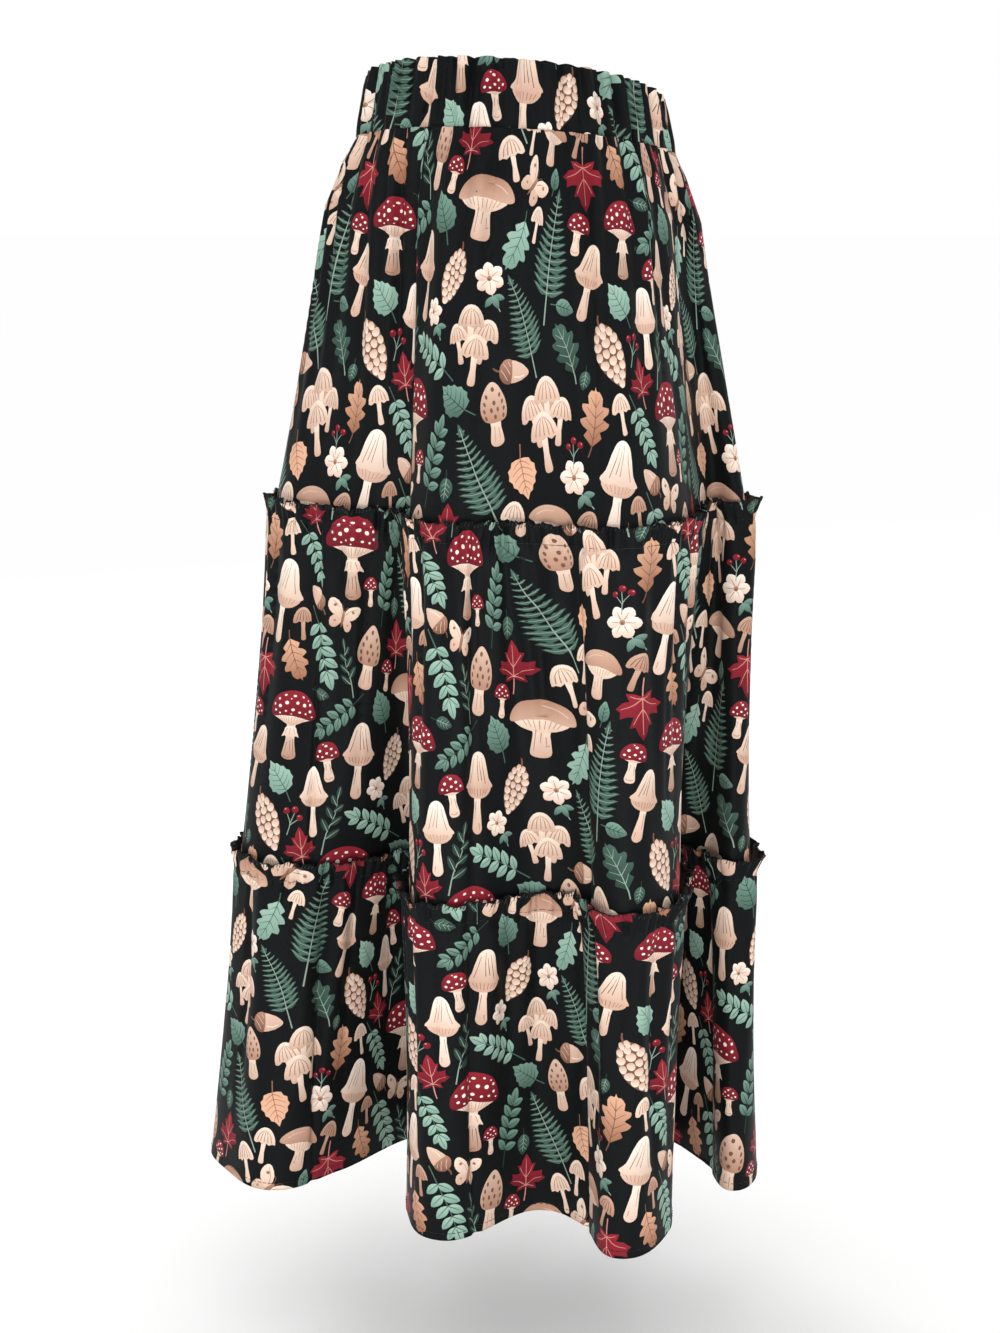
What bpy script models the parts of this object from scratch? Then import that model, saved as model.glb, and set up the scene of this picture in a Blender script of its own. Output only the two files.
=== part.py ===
"""Tiered ruffle skirt: an elasticated waistband over three gathered tiers, worn and hollow.

The origin is the middle of the waist opening, +Z is up and the front faces -Y.
Each tier is a front and a back panel, joined at the sides. The middle and lower tiers are
gathered onto the tier above a little below their own raw top edge, so that a short ruffle
header stands up outside each seam.

Every panel is a closed wall of cloth. Its inner face lies on a smooth section curve that runs
through the fold lines below, and the gathers are waves laid over that curve.
"""
import math
from collections import namedtuple

import bmesh
import bpy
import numpy as np

# ------------------------------------------------------------------ driving sizes, metres
WALL = 0.0014
SEAM_GAP = 0.0003
BAND_HEIGHT = 0.0475
UPPER_TIER = 0.2998
MIDDLE_TIER = 0.2990
LOWER_TIER = 0.2745
HEADER = 0.016

# The waist opening, at the band's top edge and at its seam: half width and half depth.
WAIST_TOP_HALF = (0.118, 0.091)
WAIST_SEAM_HALF = (0.128, 0.099)

# Drops under the waist's top edge. At the hip the cloth has swung HIP_SPREAD of the way out
# from the waist to seam 1, because the gathers push it off the band.
HIP = 0.100
HIP_SPREAD = 0.32
SEAM_1 = BAND_HEIGHT + UPPER_TIER
SEAM_2 = SEAM_1 + MIDDLE_TIER
HEM = SEAM_2 + LOWER_TIER
LEVELS = (BAND_HEIGHT, HIP, SEAM_1, SEAM_2, HEM)

# The waist dips to the back and to the wearer's left. The dip fades out down the upper tier.
DIP_DROPS = (0.0, BAND_HEIGHT, 0.30)
BACK_DIP_DEG = (11.0, 7.5, 0.0)
SIDE_DIP_DEG = (4.7, 3.0, 0.0)

# ------------------------------------------------------------------ folds
# A row is one line down the skirt, along the crest or valley of a fold, from the front round by
# the right of the view. waist_deg is where it leaves the waist; the pairs are its place to the
# right and to the back, in mm, at seam 1, seam 2 and the hem.
FoldLine = namedtuple("FoldLine", "name waist_deg at_seam_1 at_seam_2 at_hem")
FOLD_LINES = (
    FoldLine("front_valley", 5, (-9, -146), (17, -141), (20, -113)),
    FoldLine("front_crease", 15, (39, -163), (49, -146), (55, -138)),
    FoldLine("front_right_crest", 31, (77, -178), (83, -199), (83, -201)),
    FoldLine("front_right_edge", 47, (125, -132), (125, -158), (125, -152)),
    FoldLine("right_valley", 62, (153, -34), (141, -10), (128, 32)),
    FoldLine("right_lip", 72, (167, -10), (165, -28), (167, -15)),
    FoldLine("right_crest", 81, (187, -24), (183, -60), (187, -76)),
    FoldLine("right_side", 93, (191, 8), (200, -24), (211, -30)),
    FoldLine("right_back_valley", 107, (179, 52), (179, 44), (171, 50)),
    FoldLine("right_back_crest", 121, (171, 92), (193, 96), (213, 100)),
    FoldLine("back_right_valley", 135, (135, 118), (133, 104), (125, 92)),
    FoldLine("back_right_crest", 149, (107, 150), (122, 168), (135, 186)),
    FoldLine("back_valley_a", 161, (63, 156), (63, 138), (61, 118)),
    FoldLine("back_crest_a", 173, (23, 174), (25, 190), (29, 206)),
    FoldLine("back_valley_b", 185, (-20, 165), (-25, 148), (-31, 126)),
    FoldLine("back_crest_b", 197, (-63, 168), (-75, 184), (-87, 198)),
    FoldLine("back_left_valley", 209, (-103, 142), (-113, 124), (-121, 104)),
    FoldLine("back_left_crest", 222, (-143, 124), (-165, 138), (-187, 150)),
    FoldLine("left_back_valley", 237, (-167, 78), (-185, 66), (-199, 58)),
    FoldLine("left_side", 256, (-201, 26), (-234, 6), (-267, 26)),
    FoldLine("left_side_front", 274, (-195, -16), (-224, -42), (-249, -38)),
    FoldLine("left_crest", 293, (-163, -42), (-185, -66), (-208, -75)),
    FoldLine("left_flank", 310, (-118, -70), (-133, -50), (-155, -36)),
    FoldLine("left_valley", 325, (-89, -72), (-81, -16), (-78, 36)),
    FoldLine("front_left_edge", 333, (-82, -114), (-85, -126), (-90, -114)),
    FoldLine("front_left_crest", 345, (-55, -149), (-63, -175), (-62, -169)),
)
# 0 leaves sharp folds pointed, 1 rounds them out.
FOLD_ROUNDNESS = 1.0
RIGHT_SEAM_LINE = [line.name for line in FOLD_LINES].index("right_side")
LEFT_SEAM_LINE = [line.name for line in FOLD_LINES].index("left_side")

# ------------------------------------------------------------------ gathers
# How deep neighbouring gathers are beside the mean: the row is read round and round.
GATHER_UNEVENNESS = (1.0, 0.62, 1.22, 0.85, 1.35, 0.7, 1.1)
GATHER_PITCH_WAIST = 0.020
GATHER_PITCH_SEAM_1 = 0.0285
GATHER_PITCH_SEAM_2 = 0.035
COLUMNS_PER_GATHER = 4
# A valley of this radius halves the gathers that run down into it.
HALVING_VALLEY_RADIUS = 0.02
# Where the tier above takes on the gathers' columns, so that it lies flat behind the header.
UNDER_HEADER = HEADER + 0.003

# A row is one ring of points. below is its distance under the panel's own seam line, columns is
# "fine" (4 to a gather), "plain" (2 to a gather) or "next" (the fine columns of the tier
# below). wave is the gathers' mean half height. lift is 1 where they stand wholly outside the
# section curve and 0 where they swing to both sides of it. clear is 1 where the cloth passes
# outside the tier above.
Ring = namedtuple("Ring", "below columns wave lift clear")
BAND_RINGS = (
    Ring(0.0, "fine", 0.0018, 0.0, 0.0),
    Ring(0.010, "fine", 0.0026, 0.0, 0.0),
    Ring(BAND_HEIGHT - 0.010, "fine", 0.0026, 0.0, 0.0),
    Ring(BAND_HEIGHT - SEAM_GAP, "fine", 0.0014, 0.0, 0.0),
)
UPPER_RINGS = (
    Ring(0.0, "fine", 0.0014, 0.0, 0.0),
    Ring(0.016, "fine", 0.0028, 0.5, 0.0),
    Ring(HIP - BAND_HEIGHT, "fine", 0.0028, 0.3, 0.0),
    Ring(0.110, "plain", 0.0020, 0.1, 0.0),
    Ring(0.190, "plain", 0.0008, 0.0, 0.0),
    Ring(UPPER_TIER - UNDER_HEADER, "next", 0.0, 0.0, 0.0),
    Ring(UPPER_TIER, "next", 0.0, 0.0, 0.0),
)
GATHERED_TOP_RINGS = (
    Ring(-HEADER, "fine", 0.0029, 1.2, 1.0),
    Ring(0.0, "fine", 0.0007, 1.0, 1.0),
    Ring(0.012, "fine", 0.0024, 0.5, 0.6),
    Ring(0.042, "fine", 0.0030, 0.3, 0.2),
    Ring(0.095, "plain", 0.0024, 0.1, 0.0),
    Ring(0.170, "plain", 0.0010, 0.0, 0.0),
)
MIDDLE_RINGS = GATHERED_TOP_RINGS + (
    Ring(MIDDLE_TIER - UNDER_HEADER, "next", 0.0, 0.0, 0.0),
    Ring(MIDDLE_TIER, "next", 0.0, 0.0, 0.0),
)
LOWER_RINGS = GATHERED_TOP_RINGS + (
    Ring(0.240, "plain", 0.0, 0.0, 0.0),
    Ring(LOWER_TIER, "plain", 0.0, 0.0, 0.0),
)

CHARCOAL_CLOTH = (0.0137, 0.0160, 0.0176, 1.0)


# ------------------------------------------------------------------ section curve
def waist_ellipse_point(line, drop):
    """A fold line's place on the waistband, which narrows from its seam to its top edge."""
    share = drop / BAND_HEIGHT
    half_width = WAIST_TOP_HALF[0] * (1 - share) + WAIST_SEAM_HALF[0] * share
    half_depth = WAIST_TOP_HALF[1] * (1 - share) + WAIST_SEAM_HALF[1] * share
    turn = math.radians(line.waist_deg)
    return (half_width * math.sin(turn), -half_depth * math.cos(turn))


def fold_point(line, drop):
    """Where a fold line passes the level that is drop metres under the waist's top edge."""
    if drop <= BAND_HEIGHT:
        return waist_ellipse_point(line, drop)
    waist = np.array(waist_ellipse_point(line, BAND_HEIGHT))
    seam_1, seam_2, hem = np.array((line.at_seam_1, line.at_seam_2, line.at_hem)) / 1000
    hip = waist + (seam_1 - waist) * HIP_SPREAD
    places = np.array((waist, hip, seam_1, seam_2, hem))
    return (np.interp(drop, LEVELS, places[:, 0]), np.interp(drop, LEVELS, places[:, 1]))


def unit(vectors):
    return vectors / np.linalg.norm(vectors, axis=1)[:, None]


def fold_slopes(knots):
    """How fast the section curve leaves each knot per square root of span, longer at sharp folds."""
    before = knots - np.roll(knots, 1, axis=0)
    after = np.roll(before, -1, axis=0)
    span_before = np.sqrt(np.linalg.norm(before, axis=1))[:, None]
    span_after = np.roll(span_before, -1, axis=0)
    slopes = before / span_before - (before + after) / (span_before + span_after)
    slopes += after / span_after
    turn = 1 - np.sum(unit(before) * unit(after), axis=1)[:, None]
    return slopes * (1 + FOLD_ROUNDNESS * turn / 2)


def section_curve(stations, drop):
    """Points on the closed curve through all fold lines; station 3.5 is half way past line 3."""
    knots = np.array([fold_point(line, drop) for line in FOLD_LINES])
    slopes = fold_slopes(knots)
    stations = np.asarray(stations, dtype=float)
    first = np.floor(stations).astype(int)
    share = (stations - first)[:, None]
    start, end = first % len(knots), (first + 1) % len(knots)
    span = np.sqrt(np.linalg.norm(knots[end] - knots[start], axis=1))[:, None]
    return (
        knots[start] * (2 * share**3 - 3 * share**2 + 1)
        + slopes[start] * span * (share**3 - 2 * share**2 + share)
        + knots[end] * (3 * share**2 - 2 * share**3)
        + slopes[end] * span * (share**3 - share**2)
    )


def level_height(places, drop):
    """Heights of points of one ring, with the dip of the waist."""
    side_dip = math.radians(np.interp(drop, DIP_DROPS, SIDE_DIP_DEG))
    back_dip = math.radians(np.interp(drop, DIP_DROPS, BACK_DIP_DEG))
    return -drop - places[:, 0] * math.tan(side_dip) - places[:, 1] * math.tan(back_dip)


# ------------------------------------------------------------------ columns
def gather_counts(drop, pitch):
    """How many gathers lie between each fold line and the next, at least one."""
    corners = section_curve(np.arange(0, len(FOLD_LINES), 0.1), drop)
    steps = np.linalg.norm(np.roll(corners, -1, axis=0) - corners, axis=1)
    lengths = steps.reshape(len(FOLD_LINES), 10).sum(axis=1)
    return [max(1, round(length / pitch)) for length in lengths]


def gather_wave(phases):
    """Height of the gathers at each phase, -1 to 1, and how deep each is beside the mean."""
    depth = np.array(GATHER_UNEVENNESS)[np.floor(phases).astype(int) % len(GATHER_UNEVENNESS)]
    return -np.cos(2 * math.pi * phases), depth


# ------------------------------------------------------------------ walls
def square_to(points):
    """Unit vectors square to a closed level line of points, on its outer side."""
    along = unit(np.roll(points, -1, axis=0) - np.roll(points, 1, axis=0))
    return np.stack([along[:, 1], -along[:, 0]], axis=1)


def room_for_gathers(points):
    """1 on flat or rounded-out cloth, and less where a valley would press the gathers together."""
    edge = np.roll(points, -1, axis=0) - points
    before = np.roll(edge, 1, axis=0)
    turn = before[:, 0] * edge[:, 1] - before[:, 1] * edge[:, 0]
    lengths = np.linalg.norm(edge, axis=1)
    bend = turn / (lengths * np.roll(lengths, 1)) / lengths
    bend = sum(np.roll(bend, shift) for shift in (-2, -1, 0, 1, 2)) / 5
    return 1 / (1 + HALVING_VALLEY_RADIUS * np.maximum(0, -bend))


def wall_ring(ring, drop, counts, per_gather):
    """Stations, inner and outer points and ways out of the wall, all round one ring."""
    stations = []
    for line, count in enumerate(counts):
        stations.extend(line + step / (count * per_gather) for step in range(count * per_gather))
    curve = section_curve(stations, drop)
    wave, depth = gather_wave(np.arange(len(curve)) / per_gather)
    height = ring.wave * depth * room_for_gathers(curve)
    offset = ring.clear * (WALL + SEAM_GAP) + height * (wave + ring.lift)
    inner = curve + square_to(curve) * offset[:, None]
    way_out = square_to(inner)
    return np.array(stations), inner, inner + way_out * WALL, way_out


def panel_ring(ring, seam_drop, own_counts, next_counts, first_line, last_line):
    """Stations, inner and outer points of a panel's ring, half a seam gap short at each end."""
    counts = next_counts if ring.columns == "next" else own_counts
    per_gather = COLUMNS_PER_GATHER // 2 if ring.columns == "plain" else COLUMNS_PER_GATHER
    drop = seam_drop + ring.below
    stations, inner, outer, way_out = wall_ring(ring, drop, counts, per_gather)
    heights = level_height(inner, drop)[:, None]
    if last_line - first_line < len(FOLD_LINES):
        first = sum(counts[:first_line]) * per_gather
        last = sum(counts[:last_line]) * per_gather
        if last < first:
            first -= len(inner)
            stations = np.where(stations >= first_line, stations - len(FOLD_LINES), stations)
        picked = np.arange(first, last + 1)
        rows = (stations, inner, outer, way_out, heights)
        stations, inner, outer, way_out, heights = (row[picked] for row in rows)
        for end, side in ((0, 1), (-1, -1)):
            inward = np.array([-way_out[end, 1], way_out[end, 0]]) * side
            inner[end] += inward * SEAM_GAP / 2
            outer[end] += inward * SEAM_GAP / 2
    return stations, np.hstack([inner, heights]), np.hstack([outer, heights])


def join_rings(mesh, upper, lower, facing_out=True, closed=False):
    """Triangles between two rows of (station, corner) pairs, whose columns may differ."""
    above, below = list(upper), list(lower)
    if closed:
        above.append((len(FOLD_LINES), above[0][1]))
        below.append((len(FOLD_LINES), below[0][1]))
    i = j = 0
    while i < len(above) - 1 or j < len(below) - 1:
        spent = j == len(below) - 1
        if spent or (i < len(above) - 1 and above[i + 1][0] <= below[j + 1][0]):
            corners = [above[i][1], below[j][1], above[i + 1][1]]
            i += 1
        else:
            corners = [above[i][1], below[j][1], below[j + 1][1]]
            j += 1
        mesh.faces.new(corners if facing_out else corners[::-1])


def cloth_wall(name, rings, seam_drop, counts, next_counts, first_line, last_line):
    """One closed wall of cloth, all round or from one fold line to another."""
    closed = last_line - first_line == len(FOLD_LINES)
    mesh = bmesh.new()
    inside = []
    outside = []
    for ring in rings:
        row = panel_ring(ring, seam_drop, counts, next_counts, first_line, last_line)
        stations, inner, outer = row
        inside.append([(at, mesh.verts.new(point)) for at, point in zip(stations, inner)])
        outside.append([(at, mesh.verts.new(point)) for at, point in zip(stations, outer)])
    for row in range(len(rings) - 1):
        join_rings(mesh, outside[row], outside[row + 1], closed=closed)
        join_rings(mesh, inside[row], inside[row + 1], facing_out=False, closed=closed)
    join_rings(mesh, inside[0], outside[0], closed=closed)
    join_rings(mesh, outside[-1], inside[-1], closed=closed)
    if not closed:
        for end, facing_out in ((0, False), (-1, True)):
            inner_edge = [(depth, row[end][1]) for depth, row in enumerate(inside)]
            outer_edge = [(depth, row[end][1]) for depth, row in enumerate(outside)]
            join_rings(mesh, inner_edge, outer_edge, facing_out)
    mesh.normal_update()
    data = bpy.data.meshes.new(name)
    mesh.to_mesh(data)
    mesh.free()
    piece = bpy.data.objects.new(name, data)
    bpy.context.scene.collection.objects.link(piece)
    data.shade_smooth()
    data.set_sharp_from_angle(angle=math.radians(50))
    data.materials.append(cloth_material(name))
    return piece


def cloth_material(name):
    """Smooth dark woven cloth, one material to a piece."""
    material = bpy.data.materials.new(name + "_cloth")
    material.use_nodes = True
    shader = material.node_tree.nodes["Principled BSDF"]
    shader.inputs["Base Color"].default_value = CHARCOAL_CLOTH
    shader.inputs["Roughness"].default_value = 0.62
    shader.inputs["Metallic"].default_value = 0.0
    return material


# ------------------------------------------------------------------ the skirt
def panel_pair(tier, rings, seam_drop, counts, next_counts):
    """The front and the back panel of a tier, which meet at the side seams."""
    front = (LEFT_SEAM_LINE, RIGHT_SEAM_LINE)
    back = (RIGHT_SEAM_LINE, LEFT_SEAM_LINE)
    for side, (first_line, last_line) in (("front", front), ("back", back)):
        name = tier + "_" + side
        cloth_wall(name, rings, seam_drop, counts, next_counts, first_line, last_line)


def main():
    for leftover in list(bpy.data.objects):
        bpy.data.objects.remove(leftover, do_unlink=True)
    at_waist = gather_counts(BAND_HEIGHT, GATHER_PITCH_WAIST)
    at_seam_1 = gather_counts(SEAM_1, GATHER_PITCH_SEAM_1)
    at_seam_2 = gather_counts(SEAM_2, GATHER_PITCH_SEAM_2)
    cloth_wall("waistband", BAND_RINGS, 0.0, at_waist, None, 0, len(FOLD_LINES))
    panel_pair("upper_tier", UPPER_RINGS, BAND_HEIGHT, at_waist, at_seam_1)
    panel_pair("middle_tier", MIDDLE_RINGS, SEAM_1, at_seam_1, at_seam_2)
    panel_pair("lower_tier", LOWER_RINGS, SEAM_2, at_seam_2, None)


main()
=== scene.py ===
"""Looks of the tiered ruffle skirt: printed cloth, overlocked ruffle edges and stitching.

The cloth is drawn flat first, as it was printed and cut, and then laid over the worn form. A flat
place is (s, t): s runs along the cut width to the right of the wearer's view from outside, and t
runs down from the panel's sewing line. Both are in mm. The origin of the skirt is the middle of
the waist opening, +Z is up and the front faces -Y.
"""
import math
import random
from collections import namedtuple

import bpy
import numpy as np
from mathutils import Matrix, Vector
from mathutils.geometry import delaunay_2d_cdt


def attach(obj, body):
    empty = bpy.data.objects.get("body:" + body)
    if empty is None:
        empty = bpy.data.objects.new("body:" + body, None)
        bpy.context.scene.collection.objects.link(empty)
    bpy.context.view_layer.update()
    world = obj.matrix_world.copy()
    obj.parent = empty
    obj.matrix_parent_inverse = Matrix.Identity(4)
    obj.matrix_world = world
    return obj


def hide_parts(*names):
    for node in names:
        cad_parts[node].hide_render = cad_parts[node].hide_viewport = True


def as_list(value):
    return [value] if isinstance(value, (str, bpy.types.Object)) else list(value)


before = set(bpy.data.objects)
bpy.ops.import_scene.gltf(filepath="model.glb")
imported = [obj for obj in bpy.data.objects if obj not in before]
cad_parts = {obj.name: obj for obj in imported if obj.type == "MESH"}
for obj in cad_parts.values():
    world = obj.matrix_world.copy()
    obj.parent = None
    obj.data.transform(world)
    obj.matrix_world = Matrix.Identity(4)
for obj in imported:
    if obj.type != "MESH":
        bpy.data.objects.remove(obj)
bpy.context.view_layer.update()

# ------------------------------------------------------------------ sizes, metres
WALL = 0.0014
SEAM_GAP = 0.0003
CLOTH = 0.0012
BAND_CLOTH = 0.0022
BAND_HEIGHT = 0.0475
UPPER_TIER = 0.2998
MIDDLE_TIER = 0.2990
LOWER_TIER = 0.2745
HEADER = 0.016
WAIST_TOP_HALF = (0.118, 0.091)
WAIST_SEAM_HALF = (0.128, 0.099)
HIP = 0.100
HIP_SPREAD = 0.32
SEAM_1 = BAND_HEIGHT + UPPER_TIER
SEAM_2 = SEAM_1 + MIDDLE_TIER
HEM = SEAM_2 + LOWER_TIER
LEVELS = (BAND_HEIGHT, HIP, SEAM_1, SEAM_2, HEM)
DIP_DROPS = (0.0, BAND_HEIGHT, 0.30)
BACK_DIP_DEG = (11.0, 7.5, 0.0)
SIDE_DIP_DEG = (4.7, 3.0, 0.0)

# One row is one line down the skirt, along the crest or valley of a large fold: the angle where it
# leaves the waist, and its place to the right and to the back, in mm, at seam 1, seam 2 and hem.
FoldLine = namedtuple("FoldLine", "name waist_deg at_seam_1 at_seam_2 at_hem")
FOLD_LINES = (
    FoldLine("front_valley", 5, (-9, -146), (17, -141), (20, -113)),
    FoldLine("front_crease", 15, (39, -163), (49, -146), (55, -138)),
    FoldLine("front_right_crest", 31, (77, -178), (83, -199), (83, -201)),
    FoldLine("front_right_edge", 47, (125, -132), (125, -158), (125, -152)),
    FoldLine("right_valley", 62, (153, -34), (141, -10), (128, 32)),
    FoldLine("right_lip", 72, (167, -10), (165, -28), (167, -15)),
    FoldLine("right_crest", 81, (187, -24), (183, -60), (187, -76)),
    FoldLine("right_side", 93, (191, 8), (200, -24), (211, -30)),
    FoldLine("right_back_valley", 107, (179, 52), (179, 44), (171, 50)),
    FoldLine("right_back_crest", 121, (171, 92), (193, 96), (213, 100)),
    FoldLine("back_right_valley", 135, (135, 118), (133, 104), (125, 92)),
    FoldLine("back_right_crest", 149, (107, 150), (122, 168), (135, 186)),
    FoldLine("back_valley_a", 161, (63, 156), (63, 138), (61, 118)),
    FoldLine("back_crest_a", 173, (23, 174), (25, 190), (29, 206)),
    FoldLine("back_valley_b", 185, (-20, 165), (-25, 148), (-31, 126)),
    FoldLine("back_crest_b", 197, (-63, 168), (-75, 184), (-87, 198)),
    FoldLine("back_left_valley", 209, (-103, 142), (-113, 124), (-121, 104)),
    FoldLine("back_left_crest", 222, (-143, 124), (-165, 138), (-187, 150)),
    FoldLine("left_back_valley", 237, (-167, 78), (-185, 66), (-199, 58)),
    FoldLine("left_side", 256, (-201, 26), (-234, 6), (-267, 26)),
    FoldLine("left_side_front", 274, (-195, -16), (-224, -42), (-249, -38)),
    FoldLine("left_crest", 293, (-163, -42), (-185, -66), (-208, -75)),
    FoldLine("left_flank", 310, (-118, -70), (-133, -50), (-155, -36)),
    FoldLine("left_valley", 325, (-89, -72), (-81, -16), (-78, 36)),
    FoldLine("front_left_edge", 333, (-82, -114), (-85, -126), (-90, -114)),
    FoldLine("front_left_crest", 345, (-55, -149), (-63, -175), (-62, -169)),
)
FOLD_ROUNDNESS = 1.0
ROUND = len(FOLD_LINES)
STEPS_BETWEEN_LINES = 10
RIGHT_SEAM_LINE = [line.name for line in FOLD_LINES].index("right_side")
LEFT_SEAM_LINE = [line.name for line in FOLD_LINES].index("left_side")

# Gathers: how deep neighbours are beside the mean, read round and round.
GATHER_UNEVENNESS = (1.0, 0.62, 1.22, 0.85, 1.35, 0.7, 1.1)
GATHER_PITCH_WAIST = 0.020
GATHER_PITCH_SEAM_1 = 0.0285
GATHER_PITCH_SEAM_2 = 0.035
HALVING_VALLEY_RADIUS = 0.02
ROOM_REACH = 0.014

# A row is one level of a tier. below is its distance under the sewing line, wave the gathers' mean
# half height, lift how far they stand outside the fold curve, clear 1 outside the tier above.
Ring = namedtuple("Ring", "below wave lift clear")
BAND_RINGS = (
    Ring(0.0, 0.0018, 0.0, 0.0),
    Ring(0.010, 0.0026, 0.0, 0.0),
    Ring(BAND_HEIGHT - 0.010, 0.0026, 0.0, 0.0),
    Ring(BAND_HEIGHT, 0.0014, 0.0, 0.0),
)
UPPER_RINGS = (
    Ring(0.0, 0.0014, 0.0, 0.0),
    Ring(0.016, 0.0028, 0.5, 0.0),
    Ring(HIP - BAND_HEIGHT, 0.0028, 0.3, 0.0),
    Ring(0.110, 0.0020, 0.1, 0.0),
    Ring(0.190, 0.0008, 0.0, 0.0),
    Ring(UPPER_TIER - 0.019, 0.0, 0.0, 0.0),
    Ring(UPPER_TIER, 0.0, 0.0, 0.0),
)
GATHERED_RINGS = (
    Ring(-HEADER, 0.0029, 1.2, 1.0),
    Ring(0.0, 0.0007, 1.0, 1.0),
    Ring(0.012, 0.0024, 0.5, 0.6),
    Ring(0.042, 0.0030, 0.3, 0.2),
    Ring(0.095, 0.0024, 0.1, 0.0),
    Ring(0.170, 0.0010, 0.0, 0.0),
    Ring(0.240, 0.0, 0.0, 0.0),
    Ring(0.300, 0.0, 0.0, 0.0),
)


# ------------------------------------------------------------------ the worn form
def waist_ellipse_point(line, drop):
    """Where a fold line passes a level of the waistband, which is an ellipse."""
    share = drop / BAND_HEIGHT
    half_width = WAIST_TOP_HALF[0] * (1 - share) + WAIST_SEAM_HALF[0] * share
    half_depth = WAIST_TOP_HALF[1] * (1 - share) + WAIST_SEAM_HALF[1] * share
    turn = math.radians(line.waist_deg)
    return (half_width * math.sin(turn), -half_depth * math.cos(turn))


def fold_point(line, drop):
    """Where a fold line passes the level that is drop metres under the waist's top edge."""
    if drop <= BAND_HEIGHT:
        return waist_ellipse_point(line, drop)
    waist = np.array(waist_ellipse_point(line, BAND_HEIGHT))
    seam_1, seam_2, hem = np.array((line.at_seam_1, line.at_seam_2, line.at_hem)) / 1000
    hip = waist + (seam_1 - waist) * HIP_SPREAD
    places = np.array((waist, hip, seam_1, seam_2, hem))
    return (np.interp(drop, LEVELS, places[:, 0]), np.interp(drop, LEVELS, places[:, 1]))


def unit(vectors):
    """Vectors in the same directions, one unit long."""
    return vectors / (np.linalg.norm(vectors, axis=-1, keepdims=True) + 1e-12)


def fold_slopes(knots):
    """How the curve runs through each fold line, rounder where it turns more."""
    before = knots - np.roll(knots, 1, axis=0)
    after = np.roll(before, -1, axis=0)
    span_before = np.sqrt(np.linalg.norm(before, axis=1))[:, None]
    span_after = np.roll(span_before, -1, axis=0)
    slopes = before / span_before - (before + after) / (span_before + span_after)
    slopes += after / span_after
    turn = 1 - np.sum(unit(before) * unit(after), axis=1)[:, None]
    return slopes * (1 + FOLD_ROUNDNESS * turn / 2)


def section_curve(stations, drop):
    """Points on the closed curve through all fold lines; station 3.5 is half way past line 3."""
    knots = np.array([fold_point(line, drop) for line in FOLD_LINES])
    slopes = fold_slopes(knots)
    first = np.floor(stations).astype(int)
    share = (stations - first)[:, None]
    start, end = first % ROUND, (first + 1) % ROUND
    span = np.sqrt(np.linalg.norm(knots[end] - knots[start], axis=1))[:, None]
    return (
        knots[start] * (2 * share**3 - 3 * share**2 + 1)
        + slopes[start] * span * (share**3 - 2 * share**2 + share)
        + knots[end] * (3 * share**2 - 2 * share**3)
        + slopes[end] * span * (share**3 - share**2)
    )


def dip(places, drop):
    """How far the waist's dip lowers points of one level."""
    side = math.tan(math.radians(np.interp(drop, DIP_DROPS, SIDE_DIP_DEG)))
    back = math.tan(math.radians(np.interp(drop, DIP_DROPS, BACK_DIP_DEG)))
    return places[:, 0] * side + places[:, 1] * back


def gather_counts(drop, pitch):
    """How many gathers fit between each fold line and the next."""
    corners = section_curve(np.arange(0, ROUND, 1 / STEPS_BETWEEN_LINES), drop)
    steps = np.linalg.norm(np.roll(corners, -1, axis=0) - corners, axis=1)
    lengths = steps.reshape(ROUND, STEPS_BETWEEN_LINES).sum(axis=1)
    return np.array([max(1, round(length / pitch)) for length in lengths])


def square_to(points):
    """Directions out of a closed curve, level and square to it."""
    along = unit(np.roll(points, -1, axis=0) - np.roll(points, 1, axis=0))
    return np.stack([along[:, 1], -along[:, 0]], axis=1)


def room_for_gathers(points):
    """1 on flat or rounded-out cloth, and less where a valley would press the gathers together."""
    edge = np.roll(points, -1, axis=0) - points
    lengths = np.linalg.norm(edge, axis=1)
    before = np.roll(edge, 1, axis=0)
    turn = before[:, 0] * edge[:, 1] - before[:, 1] * edge[:, 0]
    bend = turn / (lengths * np.roll(lengths, 1)) / lengths
    reach = int(ROOM_REACH / lengths.mean())
    bend = sum(np.roll(bend, shift) for shift in range(-reach, reach + 1)) / (2 * reach + 1)
    return 1 / (1 + HALVING_VALLEY_RADIUS * np.maximum(0, -bend))


# ------------------------------------------------------------------ tucks and creases
# A furrow is a soft trough down the cloth. at is its place round its sewing line, top and bottom
# are where it starts and ends under that line, width is its half width, depth its deepest and
# drift how far it wanders on its way, all in mm. fade is how early it gets shallow at its ends.
Furrow = namedtuple("Furrow", "at top bottom width depth drift fade")
TUCK_SPREAD = 1.6
FURROW_REACH = 3
HEADER_SHARE = 0.8
TUCK_RUN = (0.3, 1.0)
TUCK_RUN_BIAS = 1.6
TUCK_DEPTH = (0.35, 1.0)
TUCK_WIDTH = (0.19, 0.30)
TUCK_DRIFT = 0.1
TUCK_FADE = 1.4
TUCK_STEP = (0.55, 1.5)
TAKEN_UP = 0.6
MOST_TAKEN_UP = 1.6
WALL_SHARPNESS = 1.2


def seam_tucks(length, seed, pitch, depth, reach):
    """The small sharp tucks that a gathering thread pulls up, all round a sewing line."""
    draw = random.Random(seed)
    tucks = []
    at = 0.0
    while at < length:
        run = reach * draw.uniform(*TUCK_RUN) ** TUCK_RUN_BIAS
        deep = depth * draw.uniform(*TUCK_DEPTH)
        wide = pitch * draw.uniform(*TUCK_WIDTH)
        drift = run * draw.uniform(-TUCK_DRIFT, TUCK_DRIFT)
        tucks.append(Furrow(at, 0.0, run, wide, deep, drift, TUCK_FADE))
        at += pitch * draw.uniform(*TUCK_STEP)
    return tucks


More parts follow.
